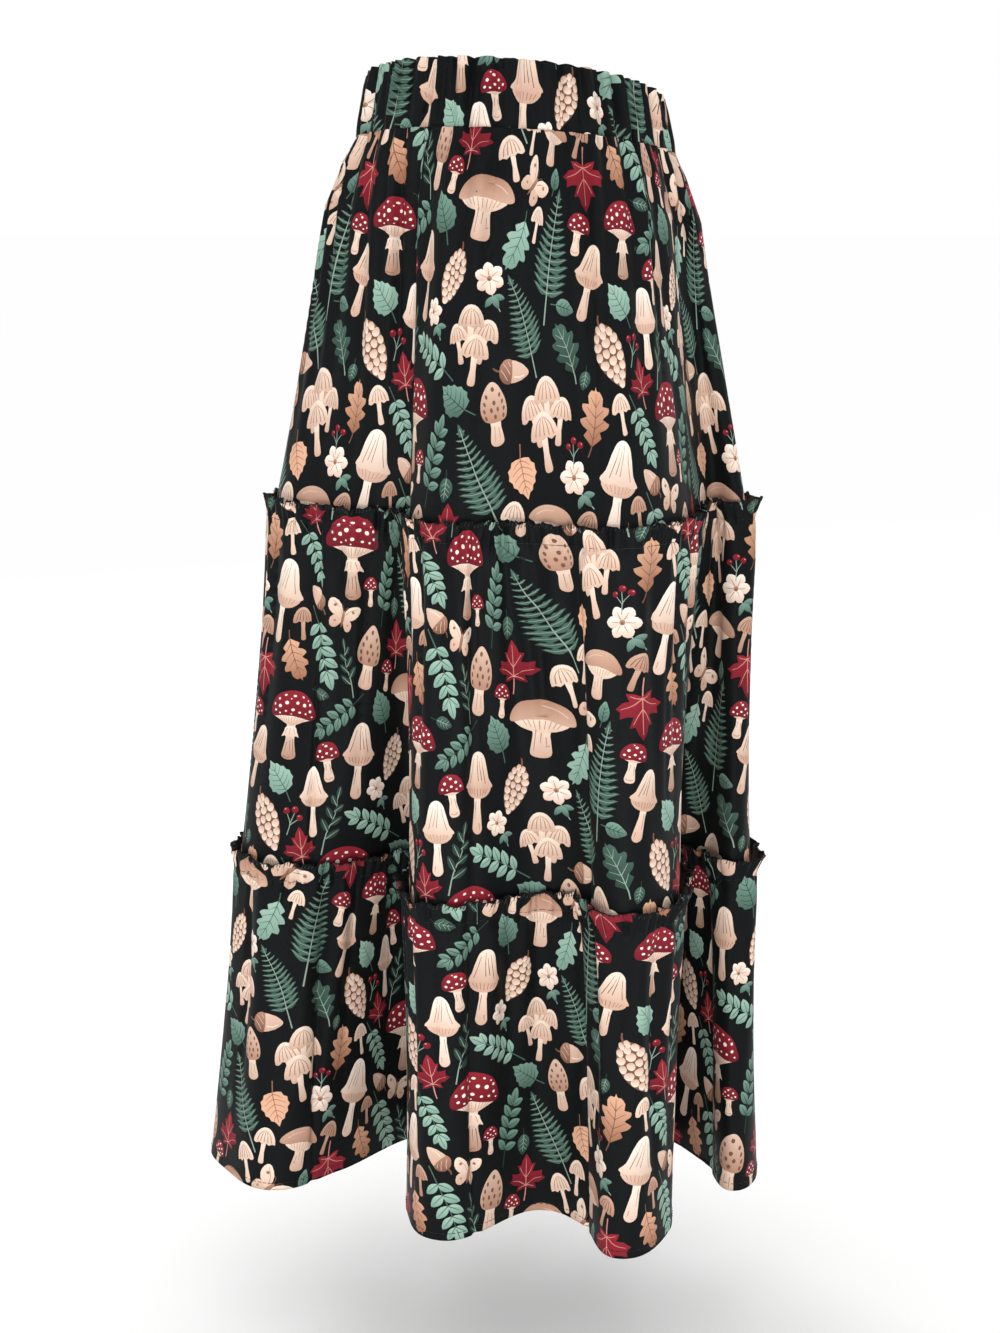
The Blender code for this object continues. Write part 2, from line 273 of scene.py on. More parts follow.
def furrow_strength(row, below):
    """The share of its full depth that a furrow has at a level, and the share of its run."""
    at_seam = row.top <= 0
    if below < 0:
        return (1 + (1 - HEADER_SHARE) * below / (1000 * HEADER) if at_seam else 0.0), 0.0
    if not row.top <= below <= row.bottom:
        return 0.0, 0.0
    share = (below - row.top) / (row.bottom - row.top)
    return ((1 - share) if at_seam else math.sin(math.pi * share)) ** row.fade, share


def furrow_relief(furrows, around, below, length):
    """How far furrows push the cloth in, in mm, at each place of a level. below is in mm."""
    relief = np.zeros(len(around))
    for row in furrows:
        strength, share = furrow_strength(row, below)
        if strength <= 0:
            continue
        apart = (around - row.at - row.drift * share + length / 2) % length - length / 2
        width = row.width * (1 + TUCK_SPREAD * share if row.top <= 0 else 1)
        near = np.abs(apart) < FURROW_REACH * width
        relief[near] += row.depth * strength * np.exp(-((apart[near] / width) ** 2))
    return relief


def taken_up(creases, around):
    """Cut width, in mm, that lies hidden in the walls of the creases up to each place."""
    width = np.zeros(len(around))
    for row in creases:
        apart = around - (row.at + row.drift / 2) % around[-1]
        extra = min(TAKEN_UP * row.depth**2 / row.width, MOST_TAKEN_UP * row.depth)
        width += extra * (1 + np.tanh(WALL_SHARPNESS * apart / row.width)) / 2
    return width - width[0]


# ------------------------------------------------------------------ cloth surfaces
COLUMNS_PER_LINE = 60
STATIONS = np.arange(ROUND * COLUMNS_PER_LINE) / COLUMNS_PER_LINE
# points and normals are grids of one row per level and one column per station. cut is where each
# station lies along the cut width, in mm, and around where it lies along the sewing line.
Surface = namedtuple("Surface", "levels points normals cut around creases")
TUCK_LIFT = 0.0034
SIDE_SEAM_DEPTH = 0.0009
SIDE_SEAM_WIDTH = 0.0018
HEADER_FLARE = 0.0016
HEADER_RIPPLE = 0.0018
FLARE_WAVES = (13.0, 7.1)
RIPPLE_WAVES = (17.0, 6.3)
WAVE_SHARES = (0.62, 0.38)
WANDER = 1.4
WANDER_WAVES = 3.3
SEAM_LAP = 3.0
HEM_TURN = 0.007
HEM_THICKNESS = 0.0005
NEAR_SEAM = 0.05
NEAR_STEP = 0.0016
FAR_STEP = 0.003
HEM_FOLD = (0.0008, 0.0002)
TURN_CLEAR = 0.001
BAND_LEVELS = 30


def length_along(points):
    """Distance along a closed line of points, in mm, with the whole round as its last value."""
    steps = np.linalg.norm(np.roll(points, -1, axis=0) - points, axis=1)
    return np.concatenate([[0], np.cumsum(steps)]) * 1000


def level_steps(top, bottom):
    """Levels from top to bottom, in metres, closer together at the sewing line and the hem turn."""
    turn = bottom - HEM_TURN
    near = np.arange(top, NEAR_SEAM, NEAR_STEP)
    far = np.arange(near[-1] + FAR_STEP, turn - TURN_CLEAR, FAR_STEP)
    if len(far) == 0:
        return np.linspace(top, bottom, BAND_LEVELS)
    return np.concatenate([near, far, [turn - HEM_FOLD[0], turn + HEM_FOLD[1], bottom]])


def side_seam_groove(curve):
    """How far the two side seams pull the cloth in, at each place of a level."""
    here = length_along(curve) / 1000
    whole = here[-1]
    groove = np.zeros(len(curve))
    for line in (LEFT_SEAM_LINE, RIGHT_SEAM_LINE):
        seam = here[line * COLUMNS_PER_LINE]
        apart = (here[:-1] - seam + whole / 2) % whole - whole / 2
        groove += SIDE_SEAM_DEPTH * np.exp(-((apart / SIDE_SEAM_WIDTH) ** 2))
    return groove


def ruffled(around, waves, seed):
    """A restless line between -1 and 1 round a header's edge, from two wave lengths in mm."""
    whole = around[-1]
    turn = 2 * math.pi * around[:-1] / whole
    long, short = (round(whole / wave) for wave in waves)
    wander = WANDER * np.sin(turn * round(long / WANDER_WAVES) + seed)
    slow, fast = np.sin(turn * long + wander), np.sin(turn * short + seed + wander)
    return WAVE_SHARES[0] * slow + WAVE_SHARES[1] * fast


def gather_waves(seam_drop, pitch):
    """The gathers all round: their wave from -1 in a hollow to 1 on a crest, and their depths."""
    counts = gather_counts(max(seam_drop, BAND_HEIGHT), pitch)
    started = np.concatenate([[0], np.cumsum(counts)])
    line = np.floor(STATIONS).astype(int)
    phase = started[line] + (STATIONS - line) * counts[line]
    number = np.floor(phase).astype(int)
    depth = np.array(GATHER_UNEVENNESS)[number % len(GATHER_UNEVENNESS)]
    return -np.cos(2 * math.pi * phase), depth


def cloth_surface(tier, tucks, creases):
    """The outer face of one tier, all round, in rows from its top edge to its bottom edge."""
    wave, depth = gather_waves(tier.seam_drop, tier.pitch)
    around = length_along(section_curve(STATIONS, tier.seam_drop))
    cut = length_along(section_curve(STATIONS, tier.flat_drop)) + taken_up(creases, around)
    flare = 1 + ruffled(around, FLARE_WAVES, 1.0)
    ripple = ruffled(around, RIPPLE_WAVES, 4.0)
    rings = np.array(tier.rings)
    levels = level_steps(tier.top, tier.bottom)
    rows = []
    for below in levels:
        drop = tier.seam_drop + below
        mean, lift, clear = (np.interp(below, rings[:, 0], rings[:, k]) for k in (1, 2, 3))
        curve = section_curve(STATIONS, drop)
        height = mean * depth * room_for_gathers(curve)
        offset = clear * (WALL + SEAM_GAP + TUCK_LIFT) + height * (wave + lift) + WALL
        offset -= furrow_relief(tucks + creases, around[:-1], below * 1000, around[-1]) / 1000
        if tier.seam_drop > 0:
            offset -= side_seam_groove(curve)
        if drop > HEM - HEM_TURN:
            offset += HEM_THICKNESS
        edge = max(0.0, -below) / HEADER
        offset += HEADER_FLARE * edge * flare
        shifted = curve + square_to(curve) * offset[:, None]
        rise = -drop - dip(shifted, drop) + HEADER_RIPPLE * edge * ripple
        rows.append(np.column_stack([shifted, rise]))
    points = np.array(rows)
    across = np.roll(points, -1, axis=1) - np.roll(points, 1, axis=1)
    normals = unit(np.cross(np.gradient(points, axis=0), across))
    return Surface(levels * 1000, points, normals, cut, around, creases)


def sewn_under(upper, lower):
    """A tier with its last millimetres, which the seam holds to the inside of the tier below it."""
    line = int(np.argmin(np.abs(lower.levels)))
    held = lower.points[line + 1] - lower.normals[line + 1] * CLOTH
    return upper._replace(
        levels=np.append(upper.levels, upper.levels[-1] + SEAM_LAP),
        points=np.concatenate([upper.points, held[None]]),
        normals=np.concatenate([upper.normals, upper.normals[-1:]]),
    )


def at_flat(surface, grid, s, t):
    """Values of a surface's grid at flat places, s in mm of cut width from station 0."""
    whole = surface.cut[-1]
    column = np.interp(s % whole, surface.cut, np.arange(len(surface.cut)))
    row = np.interp(t, surface.levels, np.arange(len(surface.levels)))
    left, above = np.floor(column).astype(int), np.floor(row).astype(int)
    above = np.minimum(above, len(surface.levels) - 2)
    right_share, below_share = (column - left)[:, None], (row - above)[:, None]
    left = left % grid.shape[1]
    right = (left + 1) % grid.shape[1]
    upper = grid[above, left] * (1 - right_share) + grid[above, right] * right_share
    lower = grid[above + 1, left] * (1 - right_share) + grid[above + 1, right] * right_share
    return upper * (1 - below_share) + lower * below_share


# ------------------------------------------------------------------ motifs
# A motif is a list of shapes in mm, y up, each printed over those before it. A shape's ink runs
# from low at the foot of its outline to high at the top.
Shape = namedtuple("Shape", "low high outline")


def between(a, b, c, d, share):
    """The smooth line from b to c that comes from a and goes on to d."""
    return 0.5 * (
        2 * b
        + (c - a) * share
        + (2 * a - 5 * b + 4 * c - d) * share**2
        + (3 * b - a - 3 * c + d) * share**3
    )


def rounded(points, steps=3):
    """Closed smooth outline through points."""
    p = np.array(points, dtype=float)
    knots = (np.roll(p, shift, axis=0)[:, None, :] for shift in (1, 0, -1, -2))
    share = (np.arange(steps) / steps)[None, :, None]
    return between(*knots, share).reshape(-1, 2)


def path(points, steps):
    """Open smooth line through points."""
    p = np.array(points, dtype=float)
    if len(p) == 2:
        share = np.linspace(0, 1, steps + 1)[:, None]
        return p[0] * (1 - share) + p[1] * share
    p = np.vstack([2 * p[0] - p[1], p, 2 * p[-1] - p[-2]])
    shares = np.arange(steps) / steps
    line = [between(*p[k : k + 4], share) for k in range(len(p) - 3) for share in shares]
    return np.array(line + [p[-2]])


def stroke(points, start, end, steps=3):
    """Outline of a brush stroke along points, from one width to another."""
    line = path(points, steps)
    along = np.gradient(line, axis=0)
    along /= np.linalg.norm(along, axis=1)[:, None] + 1e-9
    side = np.stack([-along[:, 1], along[:, 0]], 1)
    half = (start + (end - start) * np.linspace(0, 1, len(line)))[:, None] / 2
    return np.vstack([line + side * half, (line - side * half)[::-1]])


def turned(points, degrees):
    c, s = math.cos(math.radians(degrees)), math.sin(math.radians(degrees))
    return np.asarray(points, dtype=float) @ np.array([[c, s], [-s, c]])


def oval(x, y, width, height, turn=0.0, corners=10):
    a = np.linspace(0, 2 * math.pi, corners, endpoint=False)
    return turned(np.stack([np.cos(a) * width / 2, np.sin(a) * height / 2], 1), turn) + (x, y)


def mirrored(points):
    """An outline from its left half."""
    p = np.array(points, dtype=float)
    return np.vstack([p, (p * (-1, 1))[::-1]])


def paired(points):
    """A line on the right and its mirror image on the left, the left one first."""
    return [np.array(points) * (side, 1) for side in (-1, 1)]


def plain(ink, outline):
    return Shape(ink, ink, outline)


def brushed(ink, start, end, rows, steps=3):
    """Brush strokes of one ink. Each row is the points of one stroke."""
    return [plain(ink, stroke(row, start, end, steps)) for row in rows]


def gills(ink, end, foot, rise, top, spread, places):
    """Fine lines under a cap, which fan out from the stem to places along the cap's edge."""
    rows = [[(x * spread, foot + abs(x) * rise), (x, top)] for x in places]
    return brushed(ink, 0.5, end, rows)


def flecks(rows):
    """White flecks on a cap: each row is x, y, width, height and turn."""
    return [plain("white", oval(*row, corners=8)) for row in rows]


def leaflet(x, y, length, width, turn, low, high, vein):
    edge = [(0, 0), (0.3, 1), (0.65, 0.95), (1, 0), (0.65, -0.95), (0.3, -1)]
    blade = rounded(np.array(edge) * (length, width / 2), 2)
    shapes = [Shape(low, high, turned(blade, turn) + (x, y))]
    if vein:
        rib = stroke([(0, 0), (length * 0.82, 0)], 0.9, 0.4, 1)
        shapes.append(plain(vein, turned(rib, turn) + (x, y)))
    return shapes


def toadstool():
    stem = [(-5, 8), (-4.6, -8), (-5.5, -22), (-8.5, -36), (-6, -40.5), (0, -42)]
    stem += [(6.5, -40.5), (9, -36), (6, -22), (5, -8), (5.5, 8)]
    ring = [(-5.5, -5), (-8, -11), (-10.5, -16.5), (-6.5, -15), (-3.5, -17.5), (0, -15.3)]
    ring += [(3.8, -17.5), (7, -14.8), (11, -16), (8, -10), (5.5, -5)]
    under = [(-26, 6.5), (-14, 2), (0, -3.5), (14, 1.5), (26, 6), (12, 9), (-12, 9)]
    cap = [(-29.5, 9), (-28, 19), (-19, 30.5), (-4, 36), (11, 34.5), (23, 27), (29.5, 15)]
    cap += [(30.5, 7.5), (25, 4.5), (13, 5.8), (0, 7.6), (-13, 7), (-25, 5)]
    furrows = [[(3.6, -19), (5, -29), (5.6, -37)], [(0.6, -20), (1.2, -32)]]
    furrows += [[(-3.2, -22), (-4.6, -33)], [(-6.6, -38), (-2, -39.5), (3, -38.5)]]
    pleats = [[(-4, -6.5), (-6.6, -13)], [(-0.6, -6), (-1, -13.5)], [(3.4, -6.5), (5.6, -12.8)]]
    shapes = [Shape("tan", "cream", rounded(stem)), *brushed("bark", 0.8, 0.4, furrows)]
    shapes += [Shape("blush", "cream", rounded(ring)), *brushed("tan", 0.7, 0.5, pleats)]
    places = (-19, -15, -11, -7.5, -4, 0, 4, 7.5, 11, 15, 19)
    shapes += [Shape("beige", "cream", rounded(under))]
    shapes += gills("tan", 0.6, -1.6, 0.19, 6.4, 0.7, places)
    shapes += [Shape("wine", "red", rounded(cap))]
    return shapes + flecks([
        (-22, 12, 3.6, 2.6, 10), (-24, 18.5, 2.6, 3, 0), (-15.5, 9.6, 3, 1.7, 0),
        (-16, 17.5, 4.6, 4, 20), (-17.5, 25.5, 3.4, 2.6, 40), (-8, 12.5, 2.6, 1.9, 0),
        (-7.5, 22, 5, 4.2, 0), (-9.5, 30.5, 3.6, 2.2, 20), (0.5, 14.5, 4.4, 3.2, 0),
        (1.5, 30.2, 4.2, 2.6, 0), (5.5, 22.5, 4, 3.6, 0), (9, 12, 3.4, 2.3, 0),
        (12, 29.5, 3, 2.1, -25), (14.5, 20.5, 5, 4.2, -10), (17, 11.2, 3, 2.2, 0),
        (22.5, 22, 3, 3, 0), (23, 14.5, 3.6, 3, 0), (26, 8.6, 2.4, 1.6, 0),
        (-1, 9.7, 2, 1.2, 0), (-2.5, 26.8, 1.9, 1.6, 0), (19.4, 26.3, 1.8, 1.5, 0),
    ])


def young_toadstool():
    stem = [(-3.2, 3), (-3, -7), (-4.6, -15), (-3, -18.6), (0.2, -19.2), (3.6, -18.2)]
    stem += [(4.6, -15), (3, -7), (3.2, 3)]
    cap = [(-11.5, 2), (-10.8, 8.5), (-5.5, 14.6), (1, 16), (7.5, 13.8), (11.3, 8), (11.6, 1.6)]
    cap += [(6, 0.4), (0, 1.4), (-6, 0.6)]
    furrows = [[(1.8, -4), (2.6, -12)], [(-3.6, -15.6), (0, -16.8), (3.4, -15.4)]]
    furrows += [[(-1.2, -3), (-1.8, -9)]]
    shapes = [Shape("blush", "cream", rounded(stem)), *brushed("tan", 0.7, 0.4, furrows)]
    shapes += [plain("blush", rounded([(-8.5, 1.6), (0, -1.2), (8.8, 1.4), (0, 3)]))]
    shapes += [Shape("wine", "red", rounded(cap))]
    return shapes + flecks([
        (-8, 4.6, 2.4, 2, 0), (-3.6, 3.6, 2, 1.4, 0), (-5.2, 9, 2.8, 2.4, 20),
        (0.6, 6, 2.6, 2, 0), (0.8, 12.4, 2.8, 2.1, 0), (5, 3.4, 2, 1.4, 0),
        (5.2, 9, 2.6, 2.2, 0), (9, 5.2, 1.9, 2, 0), (-1.6, 14.2, 1.4, 1, 0),
    ])


def bell_mushroom(high="white", low="blush", line="tan"):
    stem = [(-3.4, 4), (-3.6, -12), (-5.4, -27), (-6, -34), (-3, -38), (1.8, -38)]
    stem += [(5.4, -34), (5, -27), (3.6, -12), (3.8, 4)]
    under = [(-16.5, 5), (-11, -2.5), (0, -5.4), (11, -3), (17, 4.4), (8, 8), (-8, 8)]
    cap = [(-18.5, 6.5), (-13.5, 14), (-10.5, 26), (-6.5, 35.5), (0.5, 38.5), (7, 34.5)]
    cap += [(10.6, 25), (13.6, 13.4), (19, 5.6), (13, 3.6), (7.5, 5), (2, 3.4), (-4, 5.2)]
    cap += [(-10, 3.8)]
    folds = [[(-3.5, 33), (-6, 22), (-9.6, 9)], [(1.5, 35), (1, 24), (-0.6, 11)]]
    folds += [[(5.6, 31), (7.6, 20), (11, 9)], [(-0.8, 30), (-2.6, 20), (-4.6, 12)]]
    shapes = [Shape(low, high, rounded(stem)), Shape("beige", low, rounded(under))]
    shapes += gills(line, 0.5, -3.4, 0.24, 3.8, 0.75, (-12, -8, -4, 0, 4, 8, 12))
    shapes += [Shape(low, high, rounded(cap)), *brushed(line, 0.4, 0.8, folds)]
    return shapes + brushed(
        line, 0.7, 0.4, [[(1.6, -8), (2.6, -24)], [(-2.6, -28), (-3.4, -34)]]
    )


def brown_cap(low="beige", high="tan"):
    stem = [(-6, 6), (-5.8, -8), (-7.8, -22), (-5.5, -27), (0.5, -28), (6.6, -26.4)]
    stem += [(8, -22), (6.2, -8), (6.4, 6)]
    under = [(-20, 3.5), (-10, -3.6), (2, -5.6), (14, -3), (22.6, 3.6), (12, 8), (-12, 8)]
    cap = [(-26, 4.5), (-22.5, 13), (-12, 20.5), (2, 22.8), (15, 19.5), (24.5, 11)]
    cap += [(27, 3.4), (20, 2), (9, 4.8), (-4, 5.2), (-17, 2.6)]
    shapes = [Shape("beige", "cream", rounded(stem)), Shape("blush", "cream", rounded(under))]
    shapes += gills("tan", 0.6, -3.6, 0.2, 4.4, 0.75, (-14, -10, -6, -2, 2, 6, 10, 14))
    shapes += [Shape(low, high, rounded(cap))]
    shapes += brushed("blush", 0.9, 0.5, [[(-18, 10), (-10, 15.5), (1, 17.6)]])
    furrows = [[(4, -3), (4.8, -13), (5.4, -22)], [(-3, -10), (-3.6, -18)]]
    furrows += [[(-5.8, -17), (-3, -18.4)], [(0.4, -6), (0.8, -15)]]
    return shapes + brushed("tan", 0.8, 0.5, furrows)


def bonnet(low="blush", high="cream", line="tan"):
    stem = [(-1.8, 2), (-1.7, -8), (-2.8, -17), (-0.4, -19), (2.6, -17.6), (2.2, -8), (2, 2)]
    cap = [(-10.5, 0.5), (-9, 7.5), (-4.8, 13.6), (0, 15.4), (5, 13.4), (9.2, 7.5)]
    cap += [(10.8, 0.3), (7.4, -0.8), (4.6, 0.8), (1.4, -0.8), (-1.8, 0.9), (-5, -0.8)]
    cap += [(-7.8, 0.8)]
    folds = [
        [(x * 0.25, 13 - abs(x) * 0.15), (x * 0.75, 8), (x, 1.8)] for x in (-7, -3.6, 0, 3.6, 7)
    ]
    shapes = [Shape(low, high, rounded(stem)), Shape(low, high, rounded(cap, 2))]
    return shapes + brushed(line, 0.35, 0.9, folds)


def honey_tuft(low="beige", high="cream"):
    """Four bonnets that grow from one foot, before the dark of the tuft."""
    grown = ((-13, 6, 1.0, 16), (12, 9, 1.1, -13), (-2, 19, 1.2, 2), (3, -6, 1.25, -3))
    shapes = [Shape("tan", low, oval(-1, 16, 14, 17))]
    for x, y, size, lean in grown:
        for shape in bonnet(low, high):
            shapes.append(shape._replace(outline=turned(shape.outline * size, lean) + (x, y)))
    return shapes


def morel(low="tan", high="blush"):
    """A pitted cap, egg shaped, on a thick stem. A row of pits is its height, reach and count."""
    stem = [(-5, 4), (-5.4, -8), (-7, -20), (-3, -24), (3.4, -24), (7.4, -20), (5.6, -8), (5.4, 4)]
    cap = [(-10, -2), (-13, 6), (-11.6, 17), (-6, 27), (0, 31), (6.2, 26.6), (11.8, 16.6)]
    cap += [(13.2, 6), (9.6, -2), (0, -4)]
    shapes = [Shape("beige", "cream", rounded(stem)), Shape(low, high, rounded(cap))]
    for y, half, count in ((1, 9, 3), (7, 10, 4), (13, 9, 3), (19, 6.6, 2), (24.6, 0, 1)):
        for x in np.linspace(-half, half, count):
            shapes.append(plain("bark", oval(x, y, 3.4 - abs(x) * 0.12, 4.4, x * -1.4, 7)))
    return shapes + brushed("tan", 0.8, 0.5, [[(-2.6, -8), (-3.4, -18)], [(2, -7), (2.6, -20)]])


def pine_cone(low="cream", high="beige"):
    """Rows of overlapping scales under a short stalk, tip down."""
    core = [(0, -25), (-8, -17), (-12.6, -4), (-12.4, 8), (-8, 19), (0, 23)]
    core += [(8, 19), (12.4, 8), (12.6, -4), (8, -17)]
    shapes = brushed("bark", 2.2, 1.6, [[(0, 22), (1, 27), (3, 30)]])
    shapes.append(plain("bark", rounded(core)))
    rows = ((-22, 3.4, 1), (-16.6, 7, 2), (-10.6, 10.4, 3), (-4, 12.6, 3), (3, 13.6, 4))
    rows += ((10, 12.8, 3), (16.2, 9.6, 3), (21, 5, 2))
    for y, half, count in rows:
        wide = 2 * half / count
        left = [(-wide * 0.3, 2.4), (-wide * 0.46, -0.8), (-wide * 0.2, -3.6)]
        scale = rounded(mirrored(left), 2)
        for k in range(count):
            x = -half + wide * (k + 0.5)
            shapes.append(Shape(low, high, turned(scale, x * 1.6) + (x, y)))
    return shapes


def anemone(low="blush", high="white", leaf="sage"):
    """A wood anemone: six petals over a whorl of leaves."""
    shapes = brushed("moss", 1.5, 1.0, [[(0, 4), (2.4, -10), (0.4, -25)]])
    for turn in (-150, -95, -30):
        shapes += leaflet(2.2, -10, 12, 5.4, turn, "teal", leaf, None)
    petal = rounded([(0, 1), (4.4, 5), (4.8, 11), (0, 14.6), (-4.8, 11), (-4.4, 5)], 2)
    fold = stroke([(0, 3), (0, 10)], 0.8, 0.4, 1)
    for turn in range(12, 372, 60):
        shapes.append(Shape(low, high, turned(petal, turn) + (0, 6)))
        shapes.append(plain("tan", turned(fold, turn) + (0, 6)))
    return shapes + [plain("tan", oval(0, 6, 5, 5)), plain("bark", oval(0.4, 5.6, 2.2, 2.2, 0, 7))]


def moth(low="blush", high="cream", mark="tan"):
    """A small moth from above, wings spread."""
    fore = [(1, 5), (6, 13), (15, 17.5), (19.5, 15.5), (19, 8), (13, 1.6), (1.6, 0)]
    hind = [(1.4, 1), (9, 1.6), (14, -3), (12.5, -10.5), (7, -12), (2, -6)]
    body = [(-1.8, 6), (-2, -2), (0, -11), (2, -2), (1.8, 6), (0, 8.4)]
    shapes = []
    for side in (1, -1):
        flip = (side, 1)
        shapes.append(Shape("beige", low, rounded(np.array(hind) * flip, 2)))
        shapes.append(Shape(low, high, rounded(np.array(fore) * flip, 2)))
        shapes.append(plain(mark, oval(side * 12.6, 10.6, 4, 3.4, 0, 8)))
        shapes.append(plain("bark", oval(side * 12.6, 10.6, 1.8, 1.6, 0, 6)))
        shapes.append(plain(mark, oval(side * 8.6, -5, 3, 2.6, 0, 7)))
        shapes += brushed(mark, 0.7, 0.4, [np.array([(3, 4), (8, 10), (16, 15)]) * flip])
        shapes += brushed("bark", 0.7, 0.5, [np.array([(0.6, 7), (2.4, 11.5), (5.4, 14)]) * flip])
    return shapes + [Shape("bark", "tan", rounded(body, 2))]


def acorn():
    nut = [(-8, 4), (-7.6, -6), (-3.6, -14), (0, -17), (3.6, -14), (7.6, -6), (8, 4)]
    cup = [(-9.6, 2.4), (-9.4, 8), (-5, 12.6), (0, 13.8), (5, 12.6), (9.4, 8), (9.6, 2.4)]
    cup += [(4, 1), (-4, 1)]
    hatch = [[(-7, 5), (-2, 8.6), (1, 12)], [(-2, 2.8), (3, 6.4), (6.4, 10)], [(4, 2.6), (8, 5.4)]]
    shapes = [Shape("beige", "blush", rounded(nut))]
    shapes += brushed("cream", 1.2, 0.5, [[(-4, -1), (-4, -7), (-2, -12)]])
    shapes += brushed("bark", 1.8, 1.4, [[(0, 12), (0.6, 17), (2.6, 20)]])
    return shapes + [Shape("bark", "tan", rounded(cup)), *brushed("blush", 0.5, 0.5, hatch)]


def berries():
    """A rowan sprig."""
    stalks = [[(0, -16), (0, -4), (-6, 5)], [(0, -5), (2, 8)], [(0, -6), (7, 2)]]
    shapes = brushed("moss", 1.0, 0.7, stalks)
    for x, y, r in ((-7, 7, 7), (1.5, 10.5, 7.4), (8.4, 4, 6.6)):
        shapes.append(Shape("wine", "red", oval(x, y, r, r)))
        shapes.append(plain("rose", oval(x - 1.4, y + 1.5, 1.8, 1.4, 30, 7)))
    return shapes


def spray(low="sage", high="mint", vein="teal"):
    """A stalk with five pairs of leaflets and one at the tip."""
    top, foot, bend, pairs, length, width = 30.0, -34.0, 10, 5, 17, 8.5

    def stalk(share):
        side = bend * math.sin(share * math.pi * 0.5) - bend / 2
        return np.array([side, foot + (top - foot) * share])

    shapes = brushed(vein, 1.3, 0.7, [[stalk(share) for share in np.linspace(0, 1, 6)]])
    for k in range(pairs):
        share = 0.28 + 0.68 * k / (pairs - 1)
        size = 1 - 0.32 * abs(k / (pairs - 1) - 0.35)
        for side in (-1, 1):
            turn = 90 - side * (62 - 18 * share)
            shapes += leaflet(*stalk(share), length * size, width * size, turn, low, high, vein)
    return shapes + leaflet(*stalk(1.0), length * 0.95, width * 0.9, 84, low, high, vein)


# A pinna's outline: shares of its length, of its width and of its tip's rise.
PINNA = np.array([
    (0, -0.22, 0), (0.3, -0.42, 0), (0.42, -0.28, 0), (0.58, -0.42, 0.4), (0.7, -0.2, 0.5),
    (1, 0, 1), (0.78, 0.42, 0.62), (0.62, 0.38, 0.42), (0.45, 0.6, 0.25), (0.28, 0.45, 0),
    (0, 0.3, 0),
])


def fern(blade="teal", rib="moss"):
    """A frond: pinnae with a pale rib, shorter to the tip."""
    pairs, height, spread = 13, 96, 25

    def stalk(share):
        return np.array([5 * math.sin(share * 2.2) - 3, -height / 2 + height * share])

    shapes = []
    for k in range(pairs):
        share = 0.24 + 0.72 * k / (pairs - 1)
        reach = spread * (1 - (share - 0.24) / 0.8) ** 0.8 * (0.72 + 0.28 * min(1, k / 3))
        wide = max(2.2, reach * 0.27)
        rise = reach * 0.30
        teeth = np.stack([PINNA[:, 0] * reach, PINNA[:, 1] * wide + PINNA[:, 2] * rise], 1)
        middle = [(0, 0), (reach * 0.5, rise * 0.3), (reach * 0.86, rise * 0.85)]
        for side in (-1, 1):
            shapes.append(plain(blade, teeth * (side, 1) + stalk(share)))
            shapes += brushed(rib, 0.6, 0.35, [np.array(middle) * (side, 1) + stalk(share)], 2)
    below_tip, tip = stalk(0.94), stalk(1.0)
    end = [below_tip + (-2.6, 0), tip + (-0.6, 3), tip + (0.6, 3), below_tip + (2.6, 0)]
    shapes.append(plain(blade, rounded(end, 2)))
    return shapes + brushed(rib, 1.5, 0.6, [[stalk(share) for share in np.linspace(0, 1, 8)]], 2)


def maple_leaf(low="wine", high="red", vein="rose"):
    left = [(-1, -12), (-5.5, -14), (-12, -14.6), (-10.6, -10.6), (-9.4, -8), (-15, -7.4)]
    left += [(-21.5, -2.4), (-17.4, 0.4), (-18, 6), (-12, 4.4), (-7.2, 4.6), (-9, 9.6)]
    left += [(-10.6, 13.6), (-6.2, 13), (-4.2, 18.6), (0, 25)]
    shapes = brushed(vein, 1.3, 1.2, [[(2, -27), (0.6, -19), (0, -10)]])
    shapes += [Shape(low, high, mirrored(left))]
    shapes += brushed(vein, 1.1, 0.4, [[(0, -11), (0, 6), (0, 20)]])
    for x, y in ((9, -12.4), (17, -2), (7.6, 11)):
        side_vein = [(0, -10 + max(0, y) * 0.8), (x * 0.5, y * 0.6 - 3), (x, y)]
        shapes += brushed(vein, 0.9, 0.4, paired(side_vein))
    return shapes


def oak_leaf(low, high, vein):
    left = [(-1.2, -21), (-6, -17), (-10, -13.5), (-7, -9), (-12.5, -6), (-15.5, -1), (-9, 2)]
    left += [(-13.6, 7), (-14, 12), (-8, 12.5), (-8.6, 19), (-5, 24), (-1.6, 23.6), (0, 27)]

    def bent(points):
        p = np.array(points, dtype=float)
        p[:, 0] += 0.0035 * p[:, 1] ** 2
        return p

    shapes = brushed(vein, 1.2, 1.2, [bent([(0.8, -31), (0, -24), (0, -16)])])
    shapes += [Shape(low, high, bent(rounded(mirrored(left), 2)))]
    shapes += brushed(vein, 1.2, 0.5, [bent([(0, -24), (0, -8), (0, 8), (0, 22)])])
    for y, x in ((-14, 6.6), (-5, 10.5), (4, 9.4), (12.5, 6)):
        side_vein = [(0, y - 2), (x * 0.6, y + 2.4), (x, y + 5.6)]
        shapes += brushed(vein, 0.8, 0.4, [bent(line) for line in paired(side_vein)])
    return shapes


